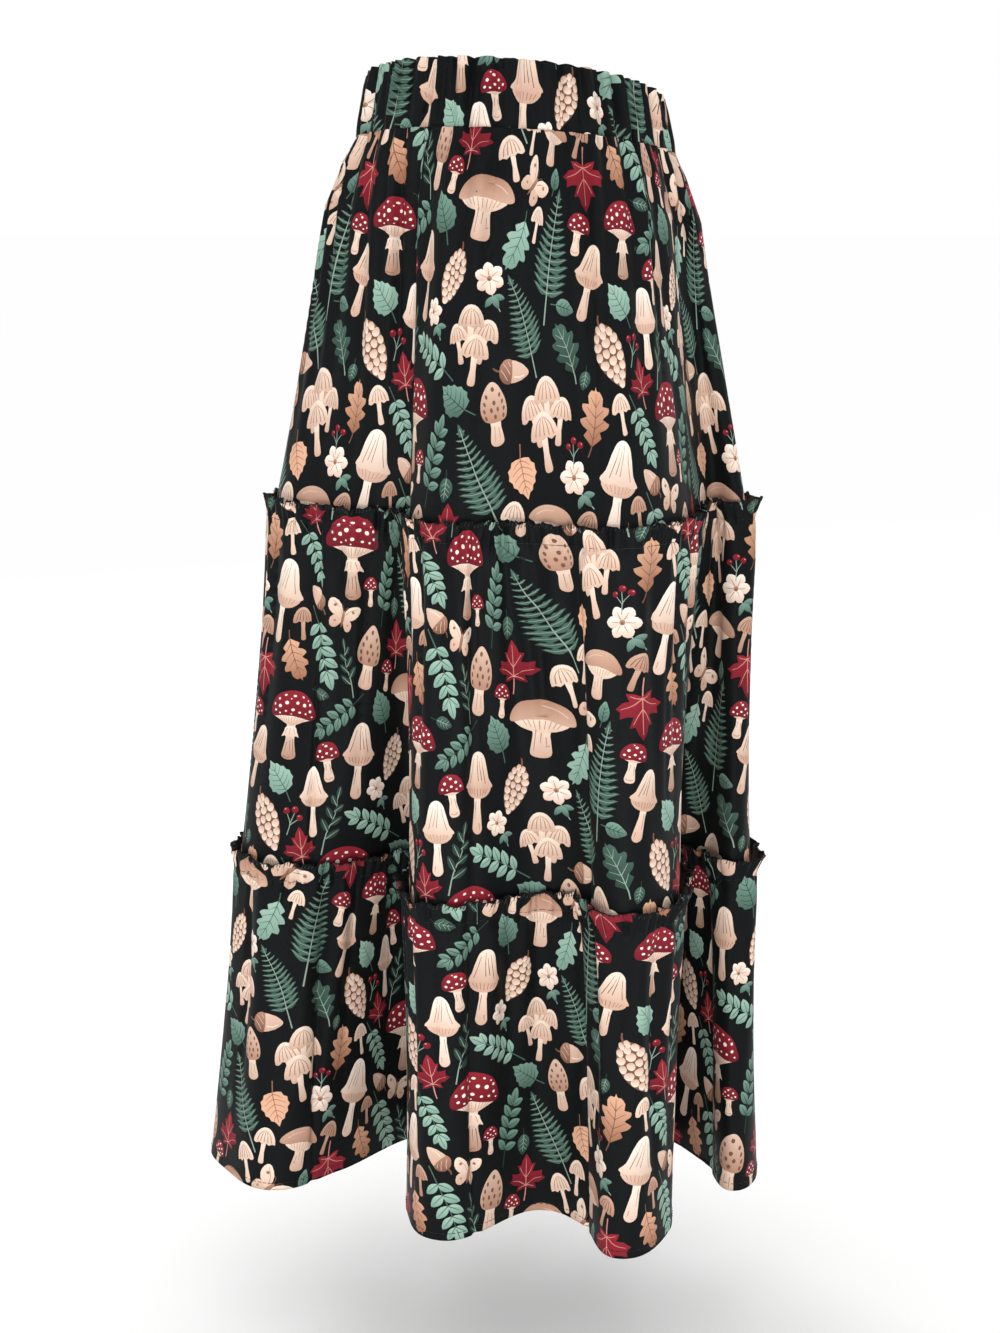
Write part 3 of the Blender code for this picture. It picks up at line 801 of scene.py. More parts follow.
def birch_leaf(low="teal", high="sage", vein="pine", stalk="teal"):
    left = [(-4, -13.6), (-9, -12.4), (-10.5, -8.6), (-13.8, -6.4), (-13.4, -2.4), (-14.4, 1)]
    left += [(-11.6, 4), (-11.2, 8), (-8, 10), (-6.6, 14), (-3.4, 15.4), (0, 21)]
    shapes = brushed(stalk, 1.1, 1.1, [[(2.6, -25), (1.2, -19), (0, -12)]])
    shapes += [Shape(low, high, mirrored(left))]
    shapes += brushed(vein, 1.0, 0.5, [[(0, -13.4), (0, 2), (0, 17)]])
    for y, x in ((-12, 8.4), (-7, 10.2), (-1.6, 9.2), (4, 7), (9, 4.4)):
        side_vein = [(0, y), (x * 0.6, y + 2.6), (x, y + 5.6)]
        shapes += brushed(vein, 0.7, 0.4, paired(side_vein), 2)
    return shapes


def small_leaf(low="teal", high="sage", vein="pine"):
    blade = [(0, -9), (-5.6, -5), (-6.2, 2), (-3, 8), (0.4, 11), (3.6, 7.6), (6.2, 1.6), (5.4, -5)]
    shapes = brushed(low, 0.9, 0.9, [[(1, -15), (0, -8)]])
    shapes += [Shape(low, high, rounded(blade, 2))]
    shapes += brushed(vein, 0.9, 0.4, [[(0, -8), (0.2, 8)]])
    for y in (-5, -1, 3):
        shapes += brushed(vein, 0.6, 0.4, paired([(0, y), (4, y + 3.4)]), 1)
    return shapes


def twig(leaf="pine", rib="moss"):
    """A dark willowy twig."""
    shapes = brushed(rib, 1.2, 0.6, [[(0, -28), (1.5, -10), (-1, 8), (1, 22)]])
    for k in range(6):
        turn = 132 if k % 2 == 0 else 48
        shapes += leaflet(0.6, 6 * k - 14, 15 - k, 5.2, turn, leaf, leaf, rib)
    return shapes + leaflet(1, 22, 11, 4.6, 88, leaf, leaf, rib)


INKS = {
    "reverse": "#2a2c2e",
    "ground": "#101314",
    "white": "#f6ece1",
    "cream": "#ecdac9",
    "blush": "#d9bba8",
    "beige": "#c9a490",
    "tan": "#aa806a",
    "bark": "#775243",
    "red": "#8f2632",
    "wine": "#6b1a26",
    "rose": "#cd8a80",
    "mint": "#9dbcac",
    "sage": "#76978a",
    "teal": "#476358",
    "pine": "#2b4038",
    "moss": "#8a9f92",
    "peach": "#dbab8e",
    "rust": "#98664d",
}
RUSSET = {"low": "rust", "high": "peach", "vein": "bark"}
PALE_GREEN = {"low": "sage", "high": "mint", "vein": "teal"}
DARK_GREEN = {"low": "pine", "high": "teal", "vein": "moss"}

# A row is a motif, the inks that it changes, its sizes, where 1 is as drawn, and how far it may
# lean to either side, in degrees.
PRINT = (
    (toadstool, {}, (0.9, 0.74), 10),
    (pine_cone, {}, (1.0, 0.86), 30),
    (morel, {}, (1.0, 0.84), 14),
    (honey_tuft, {}, (1.02, 0.86), 14),
    (fern, {}, (1.0, 0.9, 0.8), 28),
    (bell_mushroom, {}, (0.94, 0.78), 14),
    (bell_mushroom, {"high": "cream", "low": "beige", "line": "bark"}, (0.86, 0.74), 16),
    (spray, {}, (0.92, 0.84, 0.76), 180),
    (spray, {"low": "teal", "high": "sage", "vein": "pine"}, (0.88, 0.76), 180),
    (brown_cap, {}, (0.94,), 14),
    (brown_cap, {"low": "tan", "high": "beige"}, (0.78,), 14),
    (maple_leaf, {}, (0.95, 0.84, 0.74), 180),
    (oak_leaf, RUSSET, (0.86, 0.76), 180),
    (oak_leaf, PALE_GREEN, (0.8,), 180),
    (oak_leaf, DARK_GREEN, (0.82,), 180),
    (twig, {}, (1.0, 0.85), 180),
    (moth, {}, (0.92, 0.8), 60),
    (birch_leaf, {}, (0.9, 0.82), 180),
    (birch_leaf, PALE_GREEN, (0.86,), 180),
    (birch_leaf, {"low": "peach", "high": "peach", "vein": "rust", "stalk": "rust"}, (0.9,), 180),
    (young_toadstool, {}, (0.98, 0.9, 0.8, 0.72), 14),
    (bonnet, {}, (1.05, 0.96, 0.88, 0.8), 22),
    (bonnet, {"low": "tan", "high": "beige", "line": "bark"}, (0.9, 0.8), 22),
    (anemone, {}, (0.92, 0.82, 0.74), 40),
    (acorn, {}, (0.9, 0.8), 180),
    (berries, {}, (0.85, 0.75), 60),
    (small_leaf, {}, (0.95, 0.85), 180),
    (small_leaf, DARK_GREEN, (0.95, 0.8, 0.7), 180),
)


# ------------------------------------------------------------------ the print
REPEAT = 282.0
CELL = 1.5
CELLS = int(REPEAT / CELL)
OFF_CORNER = 0.01
MOTIF_GAP = 3.8
SPREAD = 11.0
TOSS_SEED = 9
TOSS_TRIES = 5
BLOCKED = -1e9
FLAT_CORNER = 0.15
THINNING_ROUNDS = 4
FEWEST_CORNERS = 4
STEPS_AWAY = np.minimum(np.arange(CELLS), CELLS - np.arange(CELLS)) * CELL
SQUARE_AWAY = STEPS_AWAY[:, None] ** 2 + STEPS_AWAY[None, :] ** 2


def raster(outline, cells):
    """Marks the cells of the repeat that an outline covers."""
    low = np.floor(outline.min(axis=0) / CELL).astype(int) - 1
    high = np.ceil(outline.max(axis=0) / CELL).astype(int) + 1
    xs, ys = (np.arange(low[k], high[k]) * CELL + OFF_CORNER for k in (0, 1))
    x0, y0 = outline.T
    x1, y1 = np.roll(outline, -1, axis=0).T
    slope = (x1 - x0) / np.where(y1 == y0, 1, y1 - y0)
    cut = x0 + (ys[:, None] - y0) * slope
    crossed = (ys[:, None] > np.minimum(y0, y1)) & (ys[:, None] <= np.maximum(y0, y1))
    inside = np.zeros((len(ys), len(xs)), dtype=bool)
    for edge in range(len(outline)):
        rows = crossed[:, edge]
        inside[rows] ^= xs[None, :] < cut[rows, edge][:, None]
    rows, columns = np.nonzero(inside)
    cells[(rows + low[1]) % CELLS, (columns + low[0]) % CELLS] = True


def footprint(shapes):
    """The cells of the repeat that a motif covers."""
    cells = np.zeros((CELLS, CELLS), dtype=bool)
    for shape in shapes:
        raster(shape.outline, cells)
    return cells


def together(fixed, moving):
    """The sum of one map times another, for each shift of the second one round the repeat."""
    shared = np.fft.rfft2(fixed.astype(float)) * np.conj(np.fft.rfft2(moving.astype(float)))
    return np.fft.irfft2(shared, fixed.shape)


def thinned(outline):
    """Leaves out corners that stand hardly off the line between their neighbours."""
    for _ in range(THINNING_ROUNDS):
        chord = np.roll(outline, -1, axis=0) - np.roll(outline, 1, axis=0)
        lean = outline - np.roll(outline, 1, axis=0)
        height = np.abs(chord[:, 0] * lean[:, 1] - chord[:, 1] * lean[:, 0])
        flat = height < FLAT_CORNER * (np.linalg.norm(chord, axis=1) + 1e-9)
        flat &= ~np.roll(flat, 1) | (np.arange(len(flat)) % 2 == 0)
        flat &= ~np.roll(flat, 1)
        if not flat.any() or len(outline) - flat.sum() < FEWEST_CORNERS:
            break
        outline = outline[~flat]
    return outline


def toss_print():
    """Fits the motifs into one repeat, largest first, each where the cloth round it is barest."""
    draw = random.Random(TOSS_SEED)
    gap = SQUARE_AWAY <= MOTIF_GAP**2
    bell = np.exp(-SQUARE_AWAY / (2 * SPREAD**2))
    waiting = []
    for motif, inks, sizes, lean in PRINT:
        room = footprint(motif(**inks)).sum()
        waiting += [(room * size**2, motif, inks, size, lean) for size in sizes]
    waiting.sort(key=lambda row: -row[0])
    taken = np.zeros((CELLS, CELLS), dtype=bool)
    placed = []
    for _, motif, inks, size, lean in waiting:
        crowded = together(taken, bell)
        best = None
        for _ in range(TOSS_TRIES):
            turn = draw.uniform(-lean, lean)
            scale = (draw.choice((-1, 1)) * size, size)
            shapes = [Shape(s.low, s.high, turned(s.outline * scale, turn)) for s in motif(**inks)]
            foot = footprint(shapes)
            wide = np.rint(together(foot, gap)) > 0
            free = np.rint(together(taken, wide)) <= 0
            if not free.any():
                continue
            score = np.where(free, -together(crowded, foot) / foot.sum(), BLOCKED)
            places = np.argwhere(score == score.max())
            y, x = places[draw.randrange(len(places))]
            if best is None or score.max() > best[0]:
                best = (score.max(), x, y, shapes, foot)
        if best:
            _, x, y, shapes, foot = best
            taken |= np.roll(foot, (y, x), (0, 1))
            shift = (x * CELL, y * CELL)
            placed.append([Shape(s.low, s.high, thinned(s.outline) + shift) for s in shapes])
    return placed


def linear(ink):
    """An sRGB hex colour as linear red, green and blue."""
    values = np.array([int(ink[k : k + 2], 16) for k in (1, 3, 5)]) / 255
    return np.where(values <= 0.04045, values / 12.92, ((values + 0.055) / 1.055) ** 2.4)


INK_COLOURS = {name: linear(ink) for name, ink in INKS.items()}


# ------------------------------------------------------------------ flat sheets
# A sheet is cloth laid flat: places (s, t), triangles, the ink at each triangle's three corners,
# and the places on its edge in order round it.
Sheet = namedtuple("Sheet", "corners triangles inks rim")
GATHER_STEP = 1.55
BOTTOM_STEP = 1.8
SIDE_STEP = 4
GATHER_ROW = 3.8
CREASE_ROW = 5.0
CREASE_STEPS = (-2.3, -1.5, -1.0, -0.6, -0.2, 0.2, 0.6, 1.0, 1.5, 2.3)
FIRST_ROW = 1.7
FIRST_COLUMN = 1.3
EDGE_CLEAR = 1.0
CREASE_CLEAR = 1.0
WELD = 1e-3
REVERSE_WELD = 1e-4


def counterclockwise(outline):
    """The same outline, the other way round if it ran clockwise."""
    x, y = outline.T
    area = np.sum(x * np.roll(y, -1) - np.roll(x, -1) * y)
    return outline if area > 0 else outline[::-1]


def panel_outline(width, top, bottom):
    """A panel's own edge, with a place wherever the worn cloth has to bend."""
    top_s = np.linspace(0, width, int(width / GATHER_STEP) + 1)
    bottom_s = np.linspace(0, width, int(width / BOTTOM_STEP) + 1)
    edge_t = np.linspace(top, bottom, int((bottom - top) / SIDE_STEP) + 1)
    sides = [(s, top) for s in top_s[:-1]] + [(width, t) for t in edge_t[:-1]]
    sides += [(s, bottom) for s in bottom_s[:0:-1]] + [(0, t) for t in edge_t[:0:-1]]
    return np.array(sides)


def motifs_on(placed, width, top, bottom, offset):
    """The shapes of the print that fall on a panel, when its repeat starts at an offset."""
    low = (np.array([0, top]) + offset) / REPEAT
    high = (np.array([width, bottom]) + offset) / REPEAT
    columns, rows = (range(math.floor(low[k]) - 1, math.ceil(high[k]) + 1) for k in (0, 1))
    for motif in placed:
        every = np.vstack([shape.outline for shape in motif]) * (1, -1)
        for shift in [(i * REPEAT, (j + 1) * REPEAT) for i in columns for j in rows]:
            shift = np.array(shift) - offset
            left, upper = every.min(axis=0) + shift
            right, lower = every.max(axis=0) + shift
            if right >= 0 and left <= width and lower >= top and upper <= bottom:
                for shape in motif:
                    yield shape._replace(outline=shape.outline * (1, -1) + shift)


def rim_order(triangles):
    """The corners on a panel's edge, in order round it."""
    sides = triangles[:, [0, 1, 1, 2, 2, 0]].reshape(-1, 2)
    size = triangles.max() + 1
    keys = sides[:, 0] * size + sides[:, 1]
    open_side = ~np.isin(keys, sides[:, 1] * size + sides[:, 0])
    following = dict(sides[open_side].tolist())
    order = [sides[open_side][0, 0]]
    while len(order) < len(following):
        order.append(following[order[-1]])
    return order


def printed_sheet(placed, width, top, bottom, offset, inner_places):
    """The print on one cut panel, as flat triangles that never cross the edge of an ink."""
    shapes = [Shape("ground", "ground", panel_outline(width, top, bottom))]
    shapes += motifs_on(placed, width, top, bottom, offset)
    places = []
    faces = []
    for shape in shapes:
        faces.append(list(range(len(places), len(places) + len(shape.outline))))
        places += map(Vector, counterclockwise(shape.outline).tolist())
    places += map(Vector, inner_places)
    found = delaunay_2d_cdt(places, [], faces, 1, WELD, True)
    kept = [(face, max(owners)) for face, owners in zip(found[2], found[5]) if 0 in owners]
    used, triangles = np.unique([face for face, _ in kept], return_inverse=True)
    triangles = triangles.reshape(-1, 3)
    corners = np.array([tuple(place) for place in found[0]])[used]
    for axis, border in ((0, 0), (0, width), (1, top), (1, bottom)):
        on_border = np.abs(corners[:, axis] - border) < WELD
        corners[on_border, axis] = border
    owner = np.array([top_ink for _, top_ink in kept])
    low_ink = np.array([INK_COLOURS[shape.low] for shape in shapes])[owner][:, None, :]
    high_ink = np.array([INK_COLOURS[shape.high] for shape in shapes])[owner][:, None, :]
    heights = [shape.outline[:, 1] for shape in shapes]
    spans = np.array([(height.min(), height.max()) for height in heights])[owner]
    t = corners[triangles][:, :, 1]
    share = (t - spans[:, :1]) / np.maximum(1e-6, spans[:, 1:] - spans[:, :1])
    share = np.clip(share, 0, 1)[:, :, None]
    inks = high_ink * (1 - share) + low_ink * share
    return Sheet(corners, triangles, inks, rim_order(triangles))


def crease_place(surface, crease, t, across):
    """Where a crease lies on the cut width at level t, or across half widths beside it."""
    share = (t - crease.top) / (crease.bottom - crease.top)
    at = (crease.at + crease.drift * share + across * crease.width) % surface.around[-1]
    return np.interp(at, surface.around, surface.cut)


def sheet_grid(surface, start, width, fine_top, step, row_step):
    """Inner points of a panel, closer together at gathers, along creases and at the hem turn."""
    top, bottom = surface.levels[0], surface.levels[-1]
    end, whole = bottom - SEAM_LAP - EDGE_CLEAR, surface.cut[-1]
    rows = []
    t = top + FIRST_ROW
    number = 0
    while t < end:
        fine = t < fine_top
        apart = GATHER_STEP if fine else step
        shift = apart / 2 if number % 2 else 0.0
        rows += [(s, t) for s in np.arange(FIRST_COLUMN + shift, width - EDGE_CLEAR, apart)]
        t += GATHER_ROW if fine else row_step
        number += 1
    at_turn = np.arange(FIRST_COLUMN, width - EDGE_CLEAR, step / 2)
    rows = np.array(rows + [(s, bottom - SEAM_LAP) for s in at_turn])
    columns = []
    for crease in surface.creases:
        first, last = crease.top, min(crease.bottom, end)
        edges = [crease_place(surface, crease, rows[:, 1], CREASE_STEPS[k]) for k in (0, -1)]
        left, right = ((edge - start) % whole for edge in edges)
        beside = (rows[:, 0] - left + CREASE_CLEAR) % whole
        inside = beside < (right - left) % whole + 2 * CREASE_CLEAR
        inside &= (rows[:, 1] > first - 2 * CREASE_CLEAR) & (rows[:, 1] < last + 2 * CREASE_CLEAR)
        rows = rows[~inside]
        for t in np.arange(max(first, top + FIRST_ROW), last, CREASE_ROW):
            for across in CREASE_STEPS:
                s = (crease_place(surface, crease, t, across) - start) % whole
                if EDGE_CLEAR < s < width - EDGE_CLEAR:
                    columns.append((s, t))
    return rows.tolist() + columns


def plain_sheet(face, inner_places):
    """A panel's reverse, with the same edge as its face: places, triangles and edge."""
    places = [Vector(face.corners[k]) for k in face.rim]
    places += map(Vector, inner_places)
    found = delaunay_2d_cdt(places, [], [list(range(len(face.rim)))], 1, REVERSE_WELD, True)
    became = {given: place for place, origins in enumerate(found[3]) for given in origins}
    rim = [became[k] for k in range(len(face.rim))]
    return np.array([tuple(place) for place in found[0]]), np.array(found[2]), rim


# ------------------------------------------------------------------ materials
def add_node(material, kind, links=None, **settings):
    """Adds a node: settings are its own properties or, with an underscore, its inputs."""
    tree = material.node_tree
    node = tree.nodes.new(kind)
    for name, value in settings.items():
        if name.startswith("in_"):
            node.inputs[name[3:].replace("_", " ")].default_value = value
        else:
            setattr(node, name, value)
    for name, source in (links or {}).items():
        tree.links.new(source, node.inputs[name])
    return node


def new_material(name):
    """An empty material and its shader."""
    material = bpy.data.materials.new(name)
    material.use_nodes = True
    shader = material.node_tree.nodes["Principled BSDF"]
    return material, shader


WAVES_PER_UNIT = 20 / (2 * math.pi)


def cloth_weave(material, spacing):
    """Plain weave over the cut map: returns a height where the two thread sets cross."""
    place = add_node(material, "ShaderNodeUVMap", uv_map="cut")
    heights = []
    for direction in ("X", "Y"):
        wave = add_node(
            material,
            "ShaderNodeTexWave",
            {"Vector": place.outputs["UV"]},
            bands_direction=direction,
            in_Scale=1 / (WAVES_PER_UNIT * spacing),
            in_Distortion=0.6,
            in_Detail=1.0,
            in_Detail_Scale=0.4,
        )
        heights.append(wave.outputs["Fac"])
    both = add_node(material, "ShaderNodeMath", operation="MULTIPLY")
    for k in (0, 1):
        material.node_tree.links.new(heights[k], both.inputs[k])
    return place, both


def woven_cloth(name, colour_variation):
    """Smooth dark plain weave of fine spun viscose, reactive printed.

    The threads lie 0.3 mm apart, too fine to show, and are drawn 1.2 mm apart. Between them the
    ink is painted a little darker, as painted shade in the hollows of the weave, the fibre ends
    give a faint sheen at grazing angles, and the dye takes unevenly over a few centimetres.
    """
    material, shader = new_material(name)
    place, weave = cloth_weave(material, 0.0012)
    ink = add_node(material, "ShaderNodeAttribute", attribute_name="ink")
    patches = add_node(
        material,
        "ShaderNodeTexNoise",
        {"Vector": place.outputs["UV"]},
        in_Scale=38.0,
        in_Detail=4.0,
        in_Roughness=0.6,
    )
    evenness = add_node(
        material,
        "ShaderNodeMapRange",
        {"Value": patches.outputs["Fac"]},
        in_To_Min=1 - colour_variation,
        in_To_Max=1 + colour_variation,
    )
    # Painted shade: the ink is darker where the weave is low, between the threads, and lighter
    # where they cross.
    weave_painted_shade = add_node(
        material,
        "ShaderNodeMapRange",
        {"Value": weave.outputs["Value"]},
        in_To_Min=0.9,
        in_To_Max=1.05,
    )
    strength = add_node(material, "ShaderNodeMath", operation="MULTIPLY")
    material.node_tree.links.new(evenness.outputs["Result"], strength.inputs[0])
    material.node_tree.links.new(weave_painted_shade.outputs["Result"], strength.inputs[1])
    dyed = add_node(
        material,
        "ShaderNodeVectorMath",
        {"Scale": strength.outputs["Value"]},
        operation="SCALE",
    )
    material.node_tree.links.new(ink.outputs["Color"], dyed.inputs[0])
    bump = add_node(
        material,
        "ShaderNodeBump",
        {"Height": weave.outputs["Value"]},
        in_Strength=0.35,
        in_Distance=0.00012,
    )
    material.node_tree.links.new(dyed.outputs["Vector"], shader.inputs["Base Color"])
    material.node_tree.links.new(bump.outputs["Normal"], shader.inputs["Normal"])
    shader.inputs["Roughness"].default_value = 0.55
    shader.inputs["Specular IOR Level"].default_value = 0.06
    shader.inputs["Sheen Weight"].default_value = 0.015
    shader.inputs["Sheen Roughness"].default_value = 0.4
    return material


PRINTED_CLOTH = woven_cloth("printed_viscose_weave", 0.07)
CLOTH_REVERSE = woven_cloth("viscose_weave_reverse", 0.05)


# ------------------------------------------------------------------ cloth pieces
FACE_GRID = (5.6, 5.2)
REVERSE_GRID = (5.8, 7.0)
FINE_TOP = 36
BAND_FINE_TOP = 48
SHOW_THROUGH = 0.22
GHOST_CELL = 6.0
RIM_COLOUR = "ground"
EDGE_ROUNDING = 0.7
FACE, REVERSE, EDGE = 0, 1, 2
BAKE_STRIPS = 2
BAKE_SPILL = 7.0
BAKE_OUTER = (0.21, 0.995)
BAKE_STRIP_EDGE = 0.01
BAKE_RIM = 0.192
BAKE_RIM_SPAN = 0.99
BAKE_RIM_CORNERS = ((0, 0), (0.5, 0.008), (0.9, 0.004))
BAKE_INNER = (0.005, 0.18)
BAKE_INNER_EDGE = 0.002


def ghost_of_print(face, places):
    """The mean ink round each place: what bleeds through to the reverse."""
    around = face.corners[face.triangles]
    low = face.corners.min(axis=0)
    cells = np.floor((around.mean(axis=1) - low) / GHOST_CELL).astype(int)
    shape = tuple(cells.max(axis=0) + 2)
    side_a, side_b = around[:, 1] - around[:, 0], around[:, 2] - around[:, 0]
    area = np.abs(side_a[:, 0] * side_b[:, 1] - side_a[:, 1] * side_b[:, 0])
    sums = np.zeros(shape + (3,))
    weights = np.full(shape, 1e-9)
    np.add.at(sums, tuple(cells.T), face.inks.mean(axis=1) * area[:, None])
    np.add.at(weights, tuple(cells.T), area)
    mean = sums / weights[:, :, None]
    wanted = np.floor((places - low) / GHOST_CELL).astype(int)
    return mean[wanted[:, 0], wanted[:, 1]]


def reverse_of(face, inner_places):
    """The reverse of a printed sheet, where the print bleeds through faintly."""
    corners, triangles, rim = plain_sheet(face, inner_places)
    bled = ghost_of_print(face, corners)
    inks = INK_COLOURS["reverse"] * (1 - SHOW_THROUGH) + bled * SHOW_THROUGH
    return Sheet(corners, triangles, inks[triangles], rim)


def bake_places(flat, kinds, width, top, bottom):
    """Bake map: the face in strips over most of the square, then the reverse and the edges."""
    strip = width / BAKE_STRIPS
    middle = flat.mean(axis=1, keepdims=True)
    number = np.clip(np.floor(middle[:, :, 0] / strip), 0, BAKE_STRIPS - 1)
    tall = (BAKE_OUTER[1] - BAKE_OUTER[0]) / BAKE_STRIPS
    u = (flat[:, :, 0] - number * strip + BAKE_SPILL) / (strip + 2 * BAKE_SPILL)
    down = (flat[:, :, 1] - top) / (bottom - top)
    v = number + BAKE_STRIP_EDGE + (1 - 2 * BAKE_STRIP_EDGE) * (1 - down)
    v = BAKE_OUTER[0] + tall * v
    reverse = kinds == REVERSE
    u[reverse] = BAKE_INNER_EDGE + (1 - 2 * BAKE_INNER_EDGE) * flat[reverse][:, :, 0] / width
    v[reverse] = BAKE_INNER[0] + (BAKE_INNER[1] - BAKE_INNER[0]) * down[reverse]
    edge = kinds == EDGE
    count = edge.sum() // 2
    corner_u, corner_v = np.array(BAKE_RIM_CORNERS).T
    share = np.tile(np.arange(count) / count, 2)
    u[edge] = share[:, None] * BAKE_RIM_SPAN + corner_u / count
    v[edge] = BAKE_RIM + corner_v
    return u, v


def cut_width(surface, first, last):
    """Where a panel between two fold lines starts on the cut width, and how wide it is, in mm."""
    start = surface.cut[first * COLUMNS_PER_LINE]
    width = surface.cut[((last - 1) % ROUND + 1) * COLUMNS_PER_LINE] - start
    return start, width if width > 0 else width + surface.cut[-1]


def laid_on(surface, start, width, flat):
    """Where a panel's flat places lie on a form, just clear of the side seams, and the way out."""
    gap = 1000 * SEAM_GAP
    s = start + gap / 2 + flat[:, 0] * (width - gap) / width
    out = unit(at_flat(surface, surface.normals, s, flat[:, 1]))
    return at_flat(surface, surface.points, s, flat[:, 1]), out


def cloth_triangles(face, back):
    """Face, reverse and cut edges as one list of triangles, and the kind of each."""
    a, b = np.array(face.rim), np.array(back.rim) + len(face.corners)
    a_next, b_next = np.roll(a, -1), np.roll(b, -1)
    edge = np.concatenate([np.stack([b, a_next, a], 1), np.stack([b, b_next, a_next], 1)])
    parts = (face.triangles[:, ::-1], back.triangles + len(face.corners), edge)
    return np.concatenate(parts), np.repeat([FACE, REVERSE, EDGE], [len(part) for part in parts])


def corner_normals(points, outward, triangles, kinds):
    """The form's own normals on the cloth, and normals that round off its cut edges."""
    normals = outward[triangles]
    edge = kinds == EDGE
    p, q, r = points[triangles[edge]].transpose(1, 0, 2)
    square = unit(np.cross(p - r, q - r))
    normals[edge] = unit(square[:, None, :] + EDGE_ROUNDING * normals[edge])
    return normals


def fill(layer, key, values, size):
    """Sets a layer of a mesh at every triangle corner, size numbers each."""
    layer.data.foreach_set(key, values.reshape(-1, size).astype(np.float32).ravel())


def cloth_piece(node, surface, lines, offset, placed, inner=None):
    """One cut panel of printed cloth, laid over the form, with its reverse and cut edges.

    inner is the form of the inner layer, for a strip that is folded over and shows its print on
    both sides.
    """
    folded = inner is not None
    fine_top = BAND_FINE_TOP if folded else FINE_TOP
    start, width = cut_width(surface, *lines)
    top, bottom = surface.levels[0], surface.levels[-1]
    grid = sheet_grid(surface, start, width, fine_top, *FACE_GRID)
    face = printed_sheet(placed, width, top, bottom, offset, grid)
    if folded:
        back = face
    else:
        back = reverse_of(face, sheet_grid(surface, start, width, fine_top, *REVERSE_GRID))
    front, front_out = laid_on(surface, start, width, face.corners)
    behind, behind_out = laid_on(inner if folded else surface, start, width, back.corners)
    points = np.vstack([front, behind - behind_out * (BAND_CLOTH if folded else CLOTH)])
    triangles, kinds = cloth_triangles(face, back)
    flat = np.vstack([face.corners, back.corners])[triangles]
    edge_inks = np.tile(INK_COLOURS[RIM_COLOUR], ((kinds == EDGE).sum(), 3, 1))
    inks = np.concatenate([face.inks[:, ::-1], back.inks, edge_inks])
    opaque = np.concatenate([inks, np.ones((len(inks), 3, 1))], axis=2)
    mesh = bpy.data.meshes.new(node)
    mesh.from_pydata(points.tolist(), [], triangles.tolist())
    fill(mesh.color_attributes.new("ink", "FLOAT_COLOR", "CORNER"), "color", opaque, 4)
    fill(mesh.uv_layers.new(name="cut"), "uv", flat / 1000, 2)
    bake = np.stack(bake_places(flat, kinds, width, top, bottom), -1)
    fill(mesh.uv_layers.new(name="OFBake"), "uv", bake, 2)
    mesh.materials.append(PRINTED_CLOTH)
    mesh.materials.append(CLOTH_REVERSE)
    plain = np.zeros(len(kinds), dtype=bool) if folded else kinds == REVERSE
    mesh.polygons.foreach_set("material_index", plain.astype(np.int32))
    mesh.shade_smooth()
    mesh.update()
    normals = corner_normals(points, np.vstack([front_out, -behind_out]), triangles, kinds)
    mesh.normals_split_custom_set(normals.reshape(-1, 3))
    piece = bpy.data.objects.new(node + "_cloth", mesh)
    bpy.context.scene.collection.objects.link(piece)
    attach(piece, "root")
    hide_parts(node)
    return piece, width / 1000, (bottom - top) / 1000


# ------------------------------------------------------------------ threads
LOOP_SPACING = 2.3
LOOP_DEPTH = 3.0
LOOP_SLANT = LOOP_SPACING * 0.35
LOOP_SHOULDER = 0.2
LOOP_MIDDLE = 2.5
LOOP_RISE = 0.0006
LOOP_RADIUS = 0.00036
STITCH_RADIUS = 0.00024
GATHER_STITCH = (3.0, 3.7)
HEM_STITCH = (2.6, 4.0)
HEM_STITCH_UP = 6.2
THREAD_OUT = 0.00012
THREAD_BEHIND = -CLOTH - THREAD_OUT
LOOP_OUT = THREAD_OUT * 2
LOOP_BEHIND = THREAD_BEHIND * 1.2
THREAD_SECTION = ((1, 0), (0, 1), (-1, 0), (0, -1))


def spun_thread(name, ink):
    """Black spun polyester: matt, with a little fuzz that catches light at the edges."""
    material, shader = new_material(name)
    shader.inputs["Base Color"].default_value = (*linear(ink), 1)
    shader.inputs["Roughness"].default_value = 0.75
    shader.inputs["Specular IOR Level"].default_value = 0.2
    shader.inputs["Sheen Weight"].default_value = 0.1
    return material


OVERLOCK_THREAD = spun_thread("overlock_thread_black", "#151516")
SEWING_THREAD = spun_thread("sewing_thread_black", "#101011")


def off_cloth(surface, s, t, out):
    """Points out metres off the cloth's outer face, at flat places of one level, and normals."""
    t = np.full(len(s), t)
    normals = unit(at_flat(surface, surface.normals, s, t))
    return at_flat(surface, surface.points, s, t) + normals * out, normals


def sewn_threads(name, strands, normals, radius, material):
    """Closed square-sectioned threads, all with as many points, joined into one piece."""
    count, points = strands.shape[:2]
    along = unit(np.gradient(strands, axis=1))
    side = unit(np.cross(along, normals))
    over = np.cross(side, along)
    corners = [strands + radius * (a * side + b * over) for a, b in THREAD_SECTION]
    corners = np.stack(corners, axis=2).reshape(-1, 3)
    sides = len(THREAD_SECTION)
    faces = []
    for here in range(0, sides * (points - 1), sides):
        for corner in range(sides):
            turn = (corner + 1) % sides
            faces.append([here + k for k in (corner, sides + corner, sides + turn, turn)])
    last = sides * (points - 1)
    faces += [(0, 1, 2, 3), (last + 3, last + 2, last + 1, last)]
    starts = np.arange(count)[:, None, None] * points * sides
    mesh = bpy.data.meshes.new(name)
    mesh.from_pydata(corners.tolist(), [], (np.array(faces)[None] + starts).reshape(-1, 4).tolist())
    mesh.materials.append(material)
    mesh.shade_smooth()
    mesh.update()
    piece = bpy.data.objects.new(name, mesh)
    bpy.context.scene.collection.objects.link(piece)
    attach(piece, "root")
    return piece


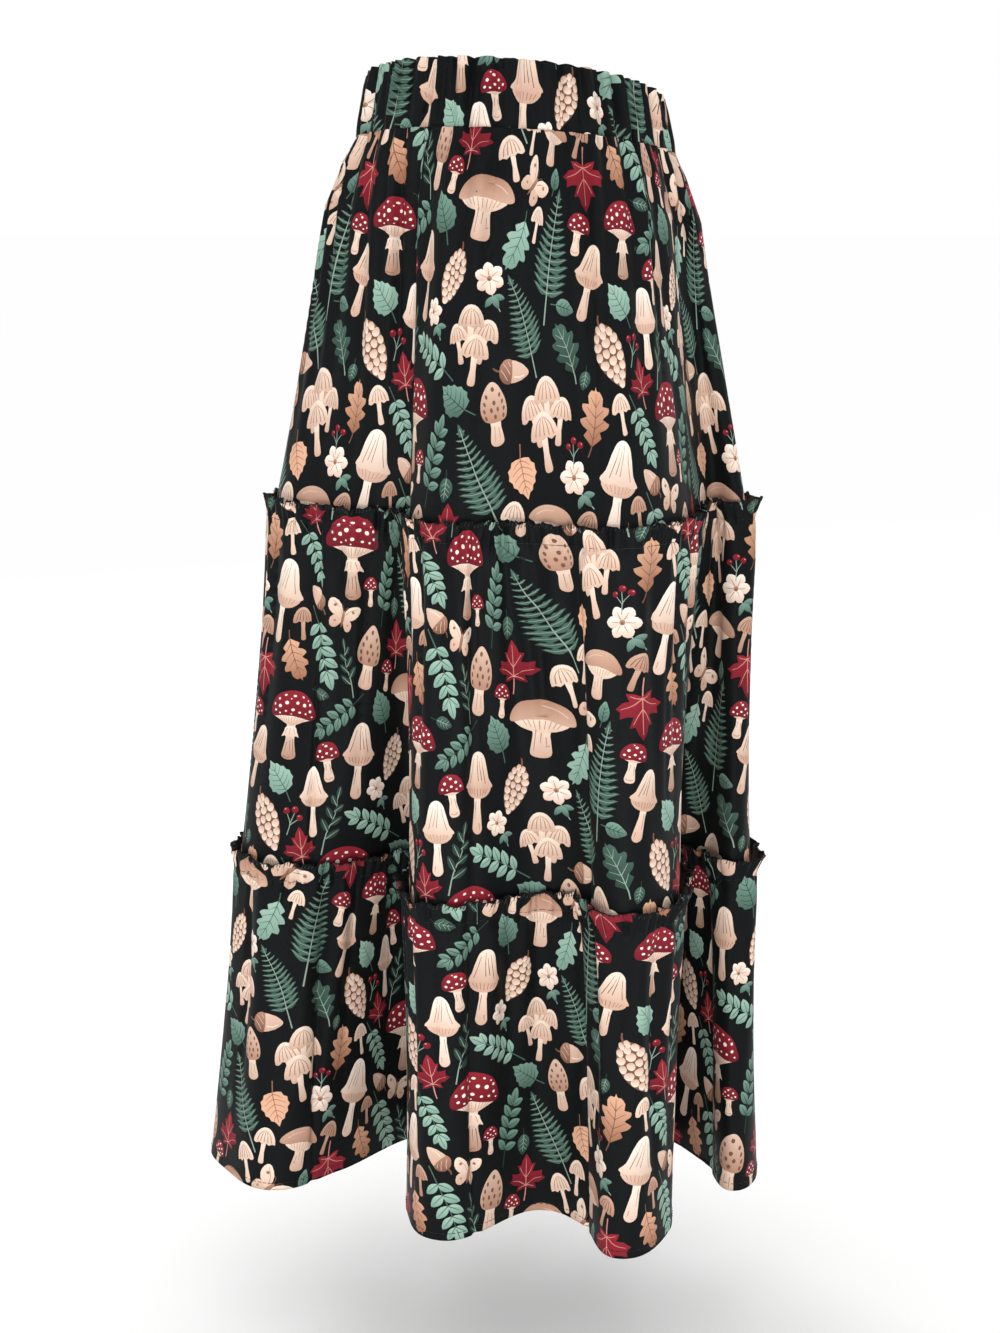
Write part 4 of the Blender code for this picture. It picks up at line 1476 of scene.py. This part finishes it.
def spaced(surface, spacing):
    """Flat places a given distance apart along the sewing line."""
    seam = np.arange(0, surface.around[-1] - spacing / 2, spacing)
    return np.interp(seam, surface.around, surface.cut)


def overlock(name, surface):
    """Thread loops that wrap the raw top edge of a header."""
    top = surface.levels[0]
    s = spaced(surface, LOOP_SPACING)
    places = (
        off_cloth(surface, s, top + LOOP_DEPTH, THREAD_OUT),
        off_cloth(surface, s + LOOP_SLANT, top + LOOP_SHOULDER, LOOP_OUT),
        off_cloth(surface, s + LOOP_SLANT, top + LOOP_SHOULDER, LOOP_BEHIND),
        off_cloth(surface, s + 2 * LOOP_SLANT, top + LOOP_DEPTH, THREAD_BEHIND),
    )
    points, normals = ([place[k] for place in places] for k in (0, 1))
    upward = unit(points[1] - off_cloth(surface, s, top + LOOP_MIDDLE, 0)[0])
    points.insert(2, (points[1] + points[2]) / 2 + upward * LOOP_RISE)
    normals.insert(2, normals[1])
    strands = np.stack(points, 1)
    return sewn_threads(name, strands, np.stack(normals, 1), LOOP_RADIUS, OVERLOCK_THREAD)


def stitch_line(name, surface, t, stitch):
    """A row of short stitches lying on the cloth."""
    length, spacing = stitch
    s = spaced(surface, spacing)
    fullness = surface.cut[-1] / surface.around[-1]
    sunk = THREAD_OUT - STITCH_RADIUS * 2
    places = []
    for share, out in ((0.0, sunk), (0.25, THREAD_OUT), (0.75, THREAD_OUT), (1.0, sunk)):
        places.append(off_cloth(surface, s + share * length * fullness, t, out))
    points, normals = (np.stack([place[k] for place in places], 1) for k in (0, 1))
    return sewn_threads(name, points, normals, STITCH_RADIUS, SEWING_THREAD)


# ------------------------------------------------------------------ the skirt
# One row is one tier. seam_drop is its sewing line's distance under the waist's top edge, top and
# bottom are its edges measured from that line, and flat_drop is the level that its cloth fills
# flat, all in metres. pitch is how far its gathers lie apart.
Tier = namedtuple("Tier", "rings seam_drop top bottom pitch flat_drop")
TIERS = {
    "waistband": Tier(BAND_RINGS, 0.0, 0.0, BAND_HEIGHT, GATHER_PITCH_WAIST, BAND_HEIGHT),
    "upper_tier": Tier(UPPER_RINGS, BAND_HEIGHT, 0.0, UPPER_TIER, GATHER_PITCH_WAIST, SEAM_1),
    "middle_tier": Tier(GATHERED_RINGS, SEAM_1, -HEADER, MIDDLE_TIER, GATHER_PITCH_SEAM_1, SEAM_2),
    "lower_tier": Tier(GATHERED_RINGS, SEAM_2, -HEADER, LOWER_TIER, GATHER_PITCH_SEAM_2, HEM),
}
WAIST_TOP_ROUND = 659
WAIST_SEAM_ROUND = 716
SEAM_1_ROUND = 1215
SEAM_2_ROUND = 1725

# The small tucks along each tier's sewing line, in mm.
Tucks = namedtuple("Tucks", "length seed pitch depth reach")
TUCKS = {
    "waistband": Tucks(WAIST_TOP_ROUND, 23, 6.5, 1.3, 18),
    "upper_tier": Tucks(WAIST_SEAM_ROUND, 10, 8.0, 1.8, 34),
    "middle_tier": Tucks(SEAM_1_ROUND, 11, 8.5, 4.8, 52),
    "lower_tier": Tucks(SEAM_2_ROUND, 12, 8.5, 4.8, 52),
}

# The waistband's gathers at the front: place round the top edge and depth, in mm.
FRONT_BAND_GATHERS = (
    (8, 1.9), (23, 2.6), (39, 1.7), (56, 3.1), (68, 2.2), (80, 3.3), (89, 2.3),
    (98, 3.0), (109, 2.2), (120, 3.2), (131, 2.5), (517, 2.2), (530, 2.8), (543, 3.4),
    (563, 2.5), (585, 3.6), (601, 2.9), (615, 3.8), (634, 1.7), (650, 2.7),
)
BACK_BAND = (143, 508)
BAND_SEED = 11
BAND_GATHER_PITCH = (9.0, 20.0)
BAND_GATHER_DEPTH = (1.5, 3.6)
BAND_GATHER_RUN = 80.0
BAND_GATHER_DRIFT = 6
BAND_GATHER_FADE = 0.4
BAND_DEEPENING = 1.6
BAND_FURROW = 1.9
CARRIED_WIDTH = 2.6
CARRIED_DEPTH = 0.55
CARRIED_FADE = 1.1
INNER_DEPTH = 0.8
INNER_WIDTH = 1.5

# Long creases of each tier, the front's first and then similar ones round the back. The columns
# are a furrow's at, bottom, width, depth, drift and fade.
CREASE_TOP = 4
CREASES = {
    "waistband": (),
    "upper_tier": (
        (589, 292, 5.0, 2.6, -6, 0.8), (614, 200, 2.8, 3.8, 4, 0.9),
        (640, 150, 3.6, 2.2, 5, 1.0), (668, 205, 5.5, 2.0, -4, 1.0),
        (8, 170, 4.2, 2.0, 3, 1.0), (42, 285, 3.6, 3.6, 5, 0.9),
        (63, 130, 3.4, 2.2, 3, 1.0), (94, 280, 3.2, 3.8, 7, 0.7),
        (128, 180, 4.0, 2.4, -4, 1.0), (160, 290, 4.8, 2.6, 6, 0.8),
        (206, 220, 5.0, 2.4, -5, 0.9), (248, 285, 4.4, 2.6, 4, 0.9),
        (287, 160, 3.8, 2.2, 6, 1.0), (331, 290, 5.4, 2.2, -6, 0.8),
        (368, 210, 4.2, 2.2, 3, 1.0), (402, 285, 5.0, 2.2, 5, 0.9),
        (452, 190, 4.0, 2.4, -4, 1.0), (497, 280, 5.0, 2.4, 6, 0.9),
        (548, 240, 4.6, 2.2, -3, 1.0),
    ),
    "middle_tier": (
        (1005, 296, 3.0, 4.4, 3, 0.5), (1037, 150, 5.0, 2.4, -4, 1.0),
        (1066, 240, 6.0, 2.8, 4, 0.9), (1155, 120, 4.6, 2.2, 3, 1.0),
        (1188, 292, 3.0, 4.4, -3, 0.5), (18, 175, 5.4, 2.0, 4, 1.0),
        (62, 294, 2.8, 4.6, 2, 0.5), (104, 150, 5.0, 2.2, -4, 1.0),
        (140, 225, 4.8, 2.4, 4, 0.9), (256, 292, 4.6, 1.8, -4, 0.8),
        (352, 290, 4.4, 2.4, 4, 0.6), (436, 190, 5.2, 2.6, -5, 0.9),
        (508, 285, 3.2, 4.4, 5, 0.6), (574, 160, 5.4, 2.4, 3, 1.0),
        (640, 290, 4.0, 2.8, -4, 0.6), (718, 230, 5.0, 2.6, 4, 0.9),
        (790, 288, 3.0, 4.4, -3, 0.6), (862, 170, 5.0, 2.4, 4, 1.0),
        (925, 285, 4.4, 2.8, 3, 0.8),
    ),
    "lower_tier": (
        (1370, 310, 3.4, 4.4, 6, 0.5), (1418, 190, 6.0, 2.6, -5, 0.9),
        (1661, 330, 3.2, 4.6, 4, 0.5), (1700, 140, 5.0, 2.4, 3, 1.0),
        (41, 330, 3.0, 4.6, 3, 0.5), (92, 160, 5.6, 2.4, -4, 1.0),
        (128, 240, 6.0, 2.6, 5, 0.9), (352, 320, 4.0, 3.2, 6, 0.6),
        (392, 175, 5.4, 2.6, -4, 1.0), (528, 320, 4.2, 3.2, 5, 0.6),
        (596, 210, 5.6, 2.6, -4, 0.9), (676, 325, 3.2, 4.4, 4, 0.5),
        (768, 190, 5.6, 2.6, 5, 1.0), (852, 320, 4.2, 3.2, -5, 0.6),
        (948, 230, 5.4, 2.6, 4, 0.9), (1038, 325, 3.2, 4.4, 5, 0.5),
        (1120, 170, 5.8, 2.6, -4, 1.0), (1222, 310, 4.4, 3.0, 5, 0.6),
        (1300, 220, 5.4, 2.6, 4, 0.9),
    ),
}


def band_gathers():
    """The elastic's deep gathers, full height, right round the band."""
    draw = random.Random(BAND_SEED)
    gathers = list(FRONT_BAND_GATHERS)
    at = BACK_BAND[0]
    while at < BACK_BAND[1]:
        gathers.append((at, draw.uniform(*BAND_GATHER_DEPTH)))
        at += draw.uniform(*BAND_GATHER_PITCH)
    furrows = []
    for at, depth in gathers:
        drift = draw.uniform(-BAND_GATHER_DRIFT, BAND_GATHER_DRIFT)
        form = (BAND_GATHER_RUN, BAND_FURROW, depth * BAND_DEEPENING, drift, BAND_GATHER_FADE)
        furrows.append(Furrow(at, 0.0, *form))
    return furrows


def carried_down(row):
    """A gather of the waistband as it runs on into the upper tier."""
    at = row.at * (WAIST_SEAM_ROUND / WAIST_TOP_ROUND)
    depth = row.depth * CARRIED_DEPTH
    return row._replace(at=at, width=CARRIED_WIDTH, depth=depth, fade=CARRIED_FADE)


def softened(rows):
    """The same furrows as the inner layer of a two-layer band takes them."""
    return [
        row._replace(depth=row.depth * INNER_DEPTH, width=row.width * INNER_WIDTH) for row in rows
    ]


surfaces = {}
tucks = {name: seam_tucks(*row) for name, row in TUCKS.items()}
creases = {name: [Furrow(at, CREASE_TOP, *row) for at, *row in CREASES[name]] for name in TIERS}
creases["waistband"] = band_gathers()
creases["upper_tier"] = [carried_down(row) for row in band_gathers()] + creases["upper_tier"]
for name, tier in TIERS.items():
    surfaces[name] = cloth_surface(tier, tucks[name], creases[name])
band_inside = cloth_surface(
    TIERS["waistband"], softened(tucks["waistband"]), softened(creases["waistband"])
)
band_inside = band_inside._replace(cut=surfaces["waistband"].cut)
for upper, lower in (("upper_tier", "middle_tier"), ("middle_tier", "lower_tier")):
    surfaces[upper] = sewn_under(surfaces[upper], surfaces[lower])
PLACED = toss_print()

# The panels of each tier lie between two side seams. offset is where the print's repeat starts.
Panel = namedtuple("Panel", "tier lines offset")
ALL_ROUND = (LEFT_SEAM_LINE, LEFT_SEAM_LINE + ROUND)
FRONT = (LEFT_SEAM_LINE, RIGHT_SEAM_LINE)
BACK = (RIGHT_SEAM_LINE, LEFT_SEAM_LINE)
PANELS = {
    "waistband": Panel("waistband", ALL_ROUND, (40, 10)),
    "upper_tier_front": Panel("upper_tier", FRONT, (95, 210)),
    "upper_tier_back": Panel("upper_tier", BACK, (10, 60)),
    "middle_tier_front": Panel("middle_tier", FRONT, (170, 120)),
    "middle_tier_back": Panel("middle_tier", BACK, (220, 30)),
    "lower_tier_front": Panel("lower_tier", FRONT, (30, 260)),
    "lower_tier_back": Panel("lower_tier", BACK, (120, 180)),
}
pieces = {}
for node, panel in PANELS.items():
    inner = band_inside if node == "waistband" else None
    pieces[node] = cloth_piece(
        node, surfaces[panel.tier], panel.lines, panel.offset, PLACED, inner
    )

threads = {
    "middle_tier_front": [
        overlock("seam_1_header_overlock", surfaces["middle_tier"]),
        stitch_line("seam_1_gathering_stitches", surfaces["middle_tier"], 0.0, GATHER_STITCH),
    ],
    "lower_tier_front": [
        overlock("seam_2_header_overlock", surfaces["lower_tier"]),
        stitch_line("seam_2_gathering_stitches", surfaces["lower_tier"], 0.0, GATHER_STITCH),
        stitch_line(
            "hem_stitches", surfaces["lower_tier"], LOWER_TIER * 1000 - HEM_STITCH_UP, HEM_STITCH
        ),
    ],
}
for node, (piece, width, length) in pieces.items():
    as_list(threads.get(node, []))

# ------------------------------------------------------------------ floor, light, camera
FLOOR_DROP = 1.06
FLOOR_REACH = 60.0
floor_mesh = bpy.data.meshes.new("floor")
floor_corners = ((-1, -1), (1, -1), (1, 1), (-1, 1))
floor_mesh.from_pydata(
    [(x * FLOOR_REACH, y * FLOOR_REACH, -FLOOR_DROP) for x, y in floor_corners],
    [],
    [(0, 1, 2, 3)],
)
floor = bpy.data.objects.new("floor", floor_mesh)
bpy.context.scene.collection.objects.link(floor)
floor_paint, floor_shader = new_material("pale_matt_floor")
floor_shader.inputs["Base Color"].default_value = (*linear("#fefefe"), 1)
floor_shader.inputs["Roughness"].default_value = 0.9
floor_shader.inputs["Specular IOR Level"].default_value = 0.0
floor_mesh.materials.append(floor_paint)


def soft_light(name, place, aim, size, watts, colour):
    lamp = bpy.data.lights.new(name, "AREA")
    lamp.shape = "SQUARE"
    lamp.size = size
    lamp.energy = watts
    lamp.color = linear(colour)
    holder = bpy.data.objects.new(name, lamp)
    holder.location = place
    holder.rotation_euler = (Vector(aim) - Vector(place)).to_track_quat("-Z", "Y").to_euler()
    bpy.context.scene.collection.objects.link(holder)


soft_light("key", (0.35, -2.9, -0.85), (0, 0, -0.8), 1.1, 18, "#fffdfa")
soft_light("fill", (-0.3, -2.8, -1.0), (-0.15, 0, -0.95), 0.8, 36, "#fffdfa")
soft_light("back", (-1.2, 2.4, 1.2), (0, 0, -0.45), 1.5, 26, "#ffffff")
world = bpy.data.worlds.new("studio")
bpy.context.scene.world = world
world.use_nodes = True
world.node_tree.nodes["Background"].inputs["Color"].default_value = (*linear("#ffffff"), 1)
world.node_tree.nodes["Background"].inputs["Strength"].default_value = 1.0
bpy.context.scene.view_settings.view_transform = "Standard"

CAMERA_PLACE = (-0.013, -1.85, -0.0873)
CAMERA_PITCH_DEG = 78.1
CAMERA_LENS_MM = 79.92
camera_data = bpy.data.cameras.new("camera")
camera_data.sensor_fit = "HORIZONTAL"
camera_data.sensor_width = 36
camera_data.lens = CAMERA_LENS_MM
camera = bpy.data.objects.new("camera", camera_data)
camera.location = CAMERA_PLACE
camera.rotation_euler = (math.radians(CAMERA_PITCH_DEG), 0, 0)
bpy.context.scene.collection.objects.link(camera)
bpy.context.scene.camera = camera
